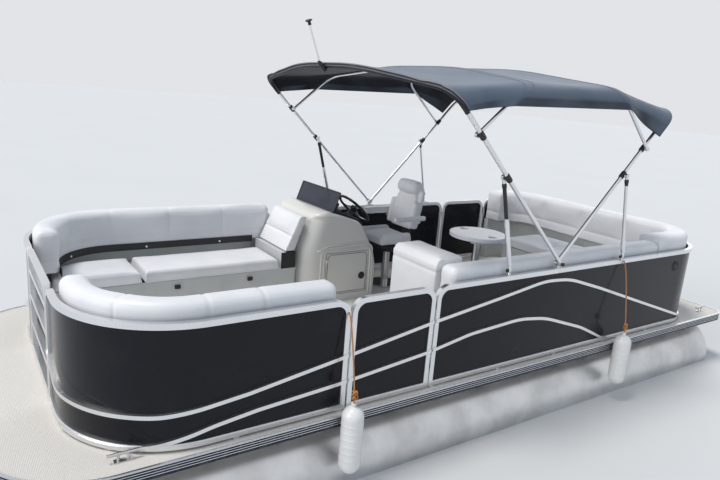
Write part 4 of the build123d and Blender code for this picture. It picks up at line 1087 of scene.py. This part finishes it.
def steeringWheel():
    hub = wheel["hub"]
    column = Vector((-math.cos(math.radians(wheel["rake"])), 0, math.sin(math.radians(wheel["rake"]))))
    across = Vector((0, 1, 0))
    upright = column.cross(across)
    turns = [step / 72 * math.tau for step in range(72)]
    bm = bmesh.new()
    addTube(bm, [hub + (across * math.cos(turn) + upright * math.sin(turn)) * wheel["rim"] for turn in turns],
            [wheel["grip"] * (1 + 0.05 * math.cos(turn * 18)) for turn in turns], 14, True)
    addLathe(bm, wheel["boss"], hub, column, 36)
    made("wheel_rim", bm, "steering_wheel", "black_plastic", 50, ("steering_wheel",))
    bm = bmesh.new()
    for turn in (math.pi / 2, math.pi * 7 / 6, math.pi * 11 / 6):
        ray = across * math.cos(turn) + upright * math.sin(turn)
        side = column.cross(ray)
        rows = []
        for share in np.linspace(0, 1, 9):
            centre = hub + ray * (0.030 + 0.128 * share) + column * (0.004 - 0.018 * math.sin(math.pi * share))
            half = 0.017 - 0.010 * math.sin(math.pi * min(1, share * 1.2)) ** 0.8
            rows.append([bm.verts.new(centre + side * half * a + column * 0.0035 * b) for a, b in wheel["spoke"]])
        for first, second in zip(rows, rows[1:]):
            bridge(bm, first, second)
    made("wheel_spokes", bm, "steering_wheel", "stainless", 50)


# Helm chair: pads with a head roll, side wings and padded arms. A block has its low and high corner, with the
# distance across from the chair's middle, and its bevel
chair = {"y": -0.700, "lean": 11.3, "pivot": at(0.008, 0, 0.56),
         "seat": (((-0.045, -0.205, 0.432), (0.325, 0.205, 0.520), 0.035),
                  ((-0.030, -0.210, 0.440), (0.300, -0.140, 0.545), 0.030),
                  ((-0.030, 0.140, 0.440), (0.300, 0.210, 0.545), 0.030)),
         "back": (((-0.085, -0.150, 0.570), (-0.012, 0.150, 0.900), 0.030),
                  ((-0.105, -0.200, 0.580), (0.012, -0.125, 0.840), 0.034),
                  ((-0.105, 0.125, 0.580), (0.012, 0.200, 0.840), 0.034),
                  ((-0.110, -0.185, 0.660), (-0.050, 0.185, 0.960), 0.028)),
         "arm": (((-0.140, 0.219, 0.662), (0.225, 0.265, 0.710), 0.018),
                 ((-0.100, 0.207, 0.630), (-0.035, 0.232, 0.690), 0.010)),
         "roll": ((0, 0), (0.045, 0.004), (0.068, 0.03), (0.072, 0.10), (0.072, 0.20), (0.068, 0.27), (0.045, 0.296),
                  (0, 0.30))}


def seatForm(name, blocks, side=1, turn=None, roll=None):
    bm = bmesh.new()
    for *corners, bevel in blocks:
        low, high = [at(x, chair["y"] + side * across, up) for x, across, up in corners]
        addBlock(bm, low, high, bevel, turn, 4)
    if roll:
        part = bmesh.new()
        addLathe(part, *roll)
        joinTo(bm, part, turn)
    return fromBmesh(name, bm, False)


def seatPads():
    y = chair["y"]
    cushion("chair_seat", seatForm("chair_seat_form", chair["seat"]), "helm_chair", "helm_chair_seat",
            seamY(y - 0.135, y + 0.135) + seamX(0.215), 0.008, 0.004, 0.014)
    roll = (chair["roll"], at(-0.040, y - 0.150, 0.968), (0, 1, 0), 24)
    back = seatForm("chair_back_form", chair["back"], 1, leaned(chair["pivot"], -chair["lean"]), roll)
    cushion("chair_back", back, "helm_chair", "helm_chair_back", seamUp(0.885), 0.008, 0.004, 0.012, facingAft(0.85))
    for side, name in ((1, "port"), (-1, "starboard")):
        cushion(f"chair_{name}_arm", seatForm(f"chair_{name}_arm_form", chair["arm"], side), "helm_chair",
                "helm_chair_armrests", (), 0.006, 0.002, 0.008)


consoleSkin()
consoleTrim()
dashParts()
screenFrame()
steeringWheel()
seatPads()
print("helm made")

# Lounges. A bow side has the middle of its seat and the places of the seams along its rest
lounge = {"bolsterSeam": 0.545, "seatUp": 0.38, "restUp": 0.62, "soft": 40,
          "bow": ((1, "port", 2.125, (2.25, 2.55)), (-1, "starboard", 1.9, (1.65, 2.1, 2.55)))}


def loungeCushion(name, node, place, body="hull", seams=(), voxel=0.009, **sizes):
    cushion(name, solidNear(node, place), body, node, seams, voxel, **sizes)


def bowLounge():
    for side, name, middle, seams in lounge["bow"]:
        loungeCushion(f"{name}_bow_seat", f"{name}_bow_seat_lid", (middle, side * 0.68, lounge["seatUp"]),
                      f"{name}_bow_lid", inset=0.005, swell=0.014, rounds=lounge["soft"])
        loungeCushion(f"{name}_bow_corner_cushion", "bow_corner_cushions", (2.75, side * 0.68, lounge["seatUp"]),
                      rounds=lounge["soft"])
        seams = seamX(*seams) + seamUp(lounge["bolsterSeam"]) + seamTurn(2.565, side * 0.580, side * 45)
        loungeCushion(f"{name}_bow_bolster", "bow_backrests", (2.7, side * 1.0, lounge["restUp"]), "hull", seams, 0.011,
                      keep=bowRestHold)
    loungeCushion("starboard_end_rest", "starboard_end_backrest", (1.2, -0.73, lounge["restUp"]), "hull", seamUp(0.60),
                  inset=0.006, swell=0.018, keep=facingAft(0.7))


def aftLounge():
    for name, node, x, y, body, seams in (
            ("aft_port_seat", "aft_port_seat_lid", 0.26, 0.69, "aft_port_lid", seamX(0.26)),
            ("aft_stern_seat", "aft_stern_seat_lid", -1.5, 0, "aft_stern_lid", seamY(0.0)),
            ("aft_corner_seat", "aft_fixed_cushions", -1.5, 0.69, "hull", ()),
            ("aft_middle_seat", "aft_fixed_cushions", -0.75, 0.69, "hull", seamX(-0.75))):
        loungeCushion(name, node, (x, y, lounge["seatUp"]), body, seams, rounds=lounge["soft"])
    seam = lounge["bolsterSeam"]
    loungeCushion("aft_port_bolster", "aft_backrest", (-0.2, 1.07, lounge["restUp"]), "hull",
                  seamX(0.58, 0.1, -0.4, -0.9) + seamUp(seam), 0.011, keep=againstFence)
    loungeCushion("stern_bolster", "stern_backrest", (-1.9, 0, lounge["restUp"]), "hull",
                  seamY(0.45, -0.05, -0.55) + seamTurn(-1.700, 0.716, 135) + seamUp(seam + 0.02), 0.012,
                  keep=againstFence)
    loungeCushion("aft_arm", "aft_lounge_arm", (0.84, 0.74, 0.56), "hull", seamUp(0.688), 0.010, inset=0.005,
                  swell=0.014)


bowLounge()
aftLounge()
print("cushions shaped")
finishCushions()
print("cushions blown up")

# Snap strips under the bow rests, set in from the fence's plan. Their black band is partly the strip and partly painted
# shade under the rests
fence = {"half": 1.150, "front": 3.135, "middleX": 2.565, "middleY": 0.580, "round": 0.570}
strip = {"inset": 0.155, "end": 0.47, "low": 0.443, "high": 0.500, "thick": 0.006, "firstSnap": 0.30, "pitch": 0.61,
         "snapUp": 0.466, "starts": ((1, "port", 1.815), (-1, "starboard", 1.375)),
         "snap": ((0.0105, -0.001), (0.0105, 0.002), (0.0085, 0.005), (0.005, 0.0066), (0, 0.0072))}


def bowLine(side, startX):
    # Plan of the bow rest's inner side: along, round the corner and across
    reach = fence["round"] - strip["inset"]
    line = [(x, side * (fence["half"] - strip["inset"])) for x in np.linspace(startX, fence["middleX"], 10)[:-1]]
    for turn in np.linspace(0, math.pi / 2, 16):
        line.append((fence["middleX"] + reach * math.sin(turn), side * (fence["middleY"] + reach * math.cos(turn))))
    line += [(fence["front"] - strip["inset"], side * y) for y in np.linspace(fence["middleY"], strip["end"], 4)[1:]]
    return line


def inwardFrom(spot, ahead):
    inward = Vector((ahead.y, -ahead.x)).normalized()
    if inward.dot(Vector((2.0, 0)) - spot) < 0:
        inward.negate()
    return inward


def addBand(bm, line):
    # Upright strip whose outer side follows the line
    low, high = strip["low"], strip["high"]
    rows = []
    for index, spot in enumerate(line):
        ahead = Vector(line[min(index + 1, len(line) - 1)]) - Vector(line[max(index - 1, 0)])
        inner = Vector(spot) + inwardFrom(Vector(spot), ahead) * strip["thick"]
        rows.append([bm.verts.new(at(x, y, up)) for (x, y), up in
                     ((spot, low), (inner, low + 0.002), (inner, high - 0.002), (spot, high))])
    for first, second in zip(rows, rows[1:]):
        bridge(bm, first, second)
    bm.faces.new(rows[0])
    bm.faces.new(rows[-1][::-1])


def snapStrips():
    for side, name, start in strip["starts"]:
        line = bowLine(side, start)
        bm = bmesh.new()
        addBand(bm, line)
        dress(fromBmesh(f"{name}_snap_strip", bm, False), "hull", "black_plastic")
        lathes = []
        travelled = 0.0
        due = strip["firstSnap"]
        line = [Vector(spot) for spot in line]
        for first, second in zip(line, line[1:]):
            step = (second - first).length
            while travelled + step > due:
                spot = first.lerp(second, (due - travelled) / step)
                inward = inwardFrom(spot, second - first)
                centre = at(spot.x + inward.x * strip["thick"], spot.y + inward.y * strip["thick"], strip["snapUp"])
                lathes.append((strip["snap"], centre, (inward.x, inward.y, 0), 16))
                due += strip["pitch"]
            travelled += step
        turned(f"{name}_snaps", "hull", "stainless", None, lathes)


# Struts: body, foot and eye in the boat's side view, distance to the side, shares of the sleeve and of the black end
struts = {"front": ("bimini_front_strut_pair", 0.480, (0.656, 1.345), 1.176, (0.07, 0.56), (0.57, 0.93)),
          "rear": ("bimini_rear_strut_pair", -0.740, (-0.608, 1.345), 1.213, (0.07, 0.20), (0.88, 0.95))}
strut = {"tube": 0.0121, "sleeve": 0.0165, "black": 0.0128, "collar": 0.0155, "footUp": 0.710,
         "knob": ((0.006, 0), (0.006, 0.006), (0.0105, 0.008), (0.0115, 0.013), (0.0115, 0.020), (0.009, 0.0235),
                  (0, 0.024))}


def strutFittings():
    tube, size, black, collar = [strut[key] for key in ("tube", "sleeve", "black", "collar")]
    for name, (body, footX, (eyeX, eyeUp), out, sleeveShares, blackShares) in struts.items():
        bright = []
        dark = []
        for side in (1, -1):
            foot = at(footX, side * out, strut["footUp"])
            along = at(eyeX, side * out, eyeUp) - foot
            axis = along.normalized()
            low, high = [along.length * share for share in sleeveShares]
            bright.append((((tube, low - 0.012), (size, low), (size, high - 0.01), (size - 0.0015, high),
                            (tube, high + 0.001)), foot, axis, 24))
            low, high = [along.length * share for share in blackShares]
            dark.append((((tube, low), (black, low + 0.004), (black, high - 0.03), (collar, high - 0.022),
                          (collar, high), (tube, high + 0.006)), foot, axis, 24))
            # Knob of the foot's pin, on the forward side
            dark.append((strut["knob"], foot + Vector((0.008, 0, 0)), (1, 0, 0.25), 14))
        turned(f"{name}_strut_sleeves", body, "rail_aluminium", 40, bright)
        turned(f"{name}_strut_ends", body, "black_plastic", 40, dark)


# Slide covers: body, angle of the bow, places of the slides, distance to the side, and the way their pins face
slides = {"front": ("bimini_front", 43.5, ((0.656, 1.345), (0.9285, 1.6031)), 1.213, 1),
          "rear": ("bimini_rear", 134.3, ((-0.608, 1.345), (-0.8032, 1.545)), 1.176, -1)}
slide = {"cover": ((0.0143, -0.031), (0.0172, -0.029), (0.0195, -0.022), (0.0195, 0.022), (0.0172, 0.029),
                   (0.0143, 0.031)),
         "pin": ((0, -0.001), (0.009, 0), (0.0095, 0.003), (0.008, 0.0045), (0, 0.005)), "pinOut": 0.0185,
         "cap": ((0.009, 0), (0.015, 0.001), (0.016, 0.004), (0.013, 0.008), (0, 0.009)), "capOut": 1.2305}


def slideCovers():
    # Black mouldings over the slides that carry the struts and the lighter bows
    for name, (body, angle, spots, out, way) in slides.items():
        lean = math.radians(angle)
        axis = Vector((math.cos(lean), 0, math.sin(lean)))
        lathes = []
        for x, up in spots:
            for side in (1, -1):
                lathes.append((slide["cover"], at(x, side * out, up), axis, 24))
                lathes.append((slide["pin"], at(x, side * (out + way * slide["pinOut"]), up), (0, -side * way, 0), 12))
        turned(f"{name}_slide_covers", body, "black_plastic", 40, lathes)
    turned("hinge_caps", "hull", "black_plastic", 40,
           [(slide["cap"], at(0, side * slide["capOut"], 0.722), (0, side, 0), 20) for side in (1, -1)])


# Stern lamp: collar on the bow, pole, and the flat cap of the lamp on its slim neck, back from the tip
lamp = {"tip": at(1.470, 0, 2.250), "bow": 43.5, "rise": 0.070, "pole": 0.0080,
        "collar": ((0, -0.001), (0.0150, 0.0), (0.0168, 0.003), (0.0168, 0.028), (0.0150, 0.032), (0.0168, 0.036),
                   (0.0168, 0.064), (0.0130, 0.072), (0.0095, 0.084), (0.0082, 0.086)),
        "cap": ((0.0082, 0.044), (0.0118, 0.040), (0.0118, 0.030), (0.0105, 0.028), (0.0105, 0.022), (0.0180, 0.018),
                (0.0245, 0.015), (0.0250, 0.010), (0.0200, 0.006), (0.0085, 0.004), (0, 0.0035))}


def lampPole():
    lean = math.radians(lamp["bow"])
    bow = Vector((math.cos(lean), 0, math.sin(lean)))
    corner = Vector(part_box("light_pole")[0])
    foot = Vector((corner.x + 0.026, 0, corner.z + 0.012))
    top = foot + bow * lamp["rise"]
    axis = (lamp["tip"] - top).normalized()
    length = (lamp["tip"] - top).length
    cap = [(radius, length - back) for radius, back in lamp["cap"]]
    turned("lamp_head", "bimini_front", "black_plastic", 35, [(lamp["collar"], foot, bow), (cap, top, axis)],
           ("light_pole",))
    bm = bmesh.new()
    addTube(bm, [top + axis * along for along in (-0.004, 0.10, length - 0.04)], lamp["pole"], 20)
    made("lamp_pole", bm, "bimini_front", "rail_aluminium", 35, ("light_pole",))


# Sockets near the stern, on the round of the fence, and rivets along the deck trim
stern = {"middle": (-1.700, 0.716), "reach": 0.4765, "turn": 77, "up": 0.545,
         "socket": ((0.0445, -0.003), (0.0450, 0.006), (0.0425, 0.010), (0.0360, 0.011), (0.0335, 0.007),
                    (0.0310, 0.007), (0.0290, 0.012), (0.0200, 0.015), (0, 0.016))}
rivet = {"places": np.arange(-2.45, 2.45, 0.32), "out": 1.247, "up": -0.0035,
         "head": ((0.0055, -0.001), (0.0050, 0.0008), (0.003, 0.0016), (0, 0.0018))}


def sternFittings():
    middleX, middleY = stern["middle"]
    turn = math.radians(stern["turn"])
    lathes = []
    for side in (1, -1):
        out = Vector((math.cos(turn), side * math.sin(turn), 0))
        spot = at(middleX + stern["reach"] * out.x, side * middleY + stern["reach"] * out.y, stern["up"])
        lathes.append((stern["socket"], spot, out, 36))
    turned("stern_sockets", "hull", "black_plastic", 35, lathes)
    turned("trim_rivets", "hull", "stainless", None,
           [(rivet["head"], at(x, side * rivet["out"], rivet["up"]), (0, side, 0), 10)
            for side in (1, -1) for x in rivet["places"]])


# Binnacle and lever beside the wheel, knob of the screen, and latches of the seat bases
lever = {"pivot": at(0.640, -1.035, 0.765), "low": at(0.585, -1.060, 0.738), "high": at(0.700, -1.015, 0.800),
         "hub": ((0.016, 0), (0.016, 0.010), (0, 0.012)),
         "arm": ((0.640, -1.004, 0.785), (0.645, -1.002, 0.82), (0.625, -0.998, 0.862), (0.618, -0.997, 0.872)),
         "grip": ((0, -0.022), (0.011, -0.020), (0.0135, 0), (0.011, 0.020), (0, 0.022))}
screenKnob = ((0.012, -0.050), (0.013, -0.046), (0.010, -0.030), (0.0075, 0.0), (0.012, 0.006), (0.0155, 0.016),
              (0.0145, 0.026), (0.009, 0.032), (0, 0.033))
latchSpots = ((1.62, -0.458), (2.20, -0.458), (2.12, 0.458))


def smallFittings():
    bm = bmesh.new()
    addBlock(bm, lever["low"], lever["high"], 0.016, leaned(lever["pivot"], -18), 4)
    addLathe(bm, lever["hub"], at(0.640, -1.018, 0.785), (0, 1, 0), 24)
    addTube(bm, [at(*spot) for spot in lever["arm"]], [0.007, 0.006, 0.006, 0.006], 12)
    addLathe(bm, lever["grip"], at(0.617, -1.0, 0.880), (0, 1, 0), 20)
    made("throttle", bm, "hull", "black_plastic", 40)
    turned("screen_knob", "hull", "black_plastic", 40, [(screenKnob, at(0.836, -0.478, 0.835), (-0.15, 0, 1), 20)])
    bm = bmesh.new()
    for x, y in latchSpots:
        addBlock(bm, at(x - 0.022, y - 0.006, 0.268), at(x + 0.022, y + 0.006, 0.300), 0.004)
    made("base_latches", bm, "hull", "black_plastic", 35)


snapStrips()
strutFittings()
slideCovers()
lampPole()
sternFittings()
smallFittings()
dress(softened("cowl_skin", "outboard_cowl", 0.016, 4), "outboard_motor", "motor_paint", 40, ("outboard_cowl",))
print("fittings made")
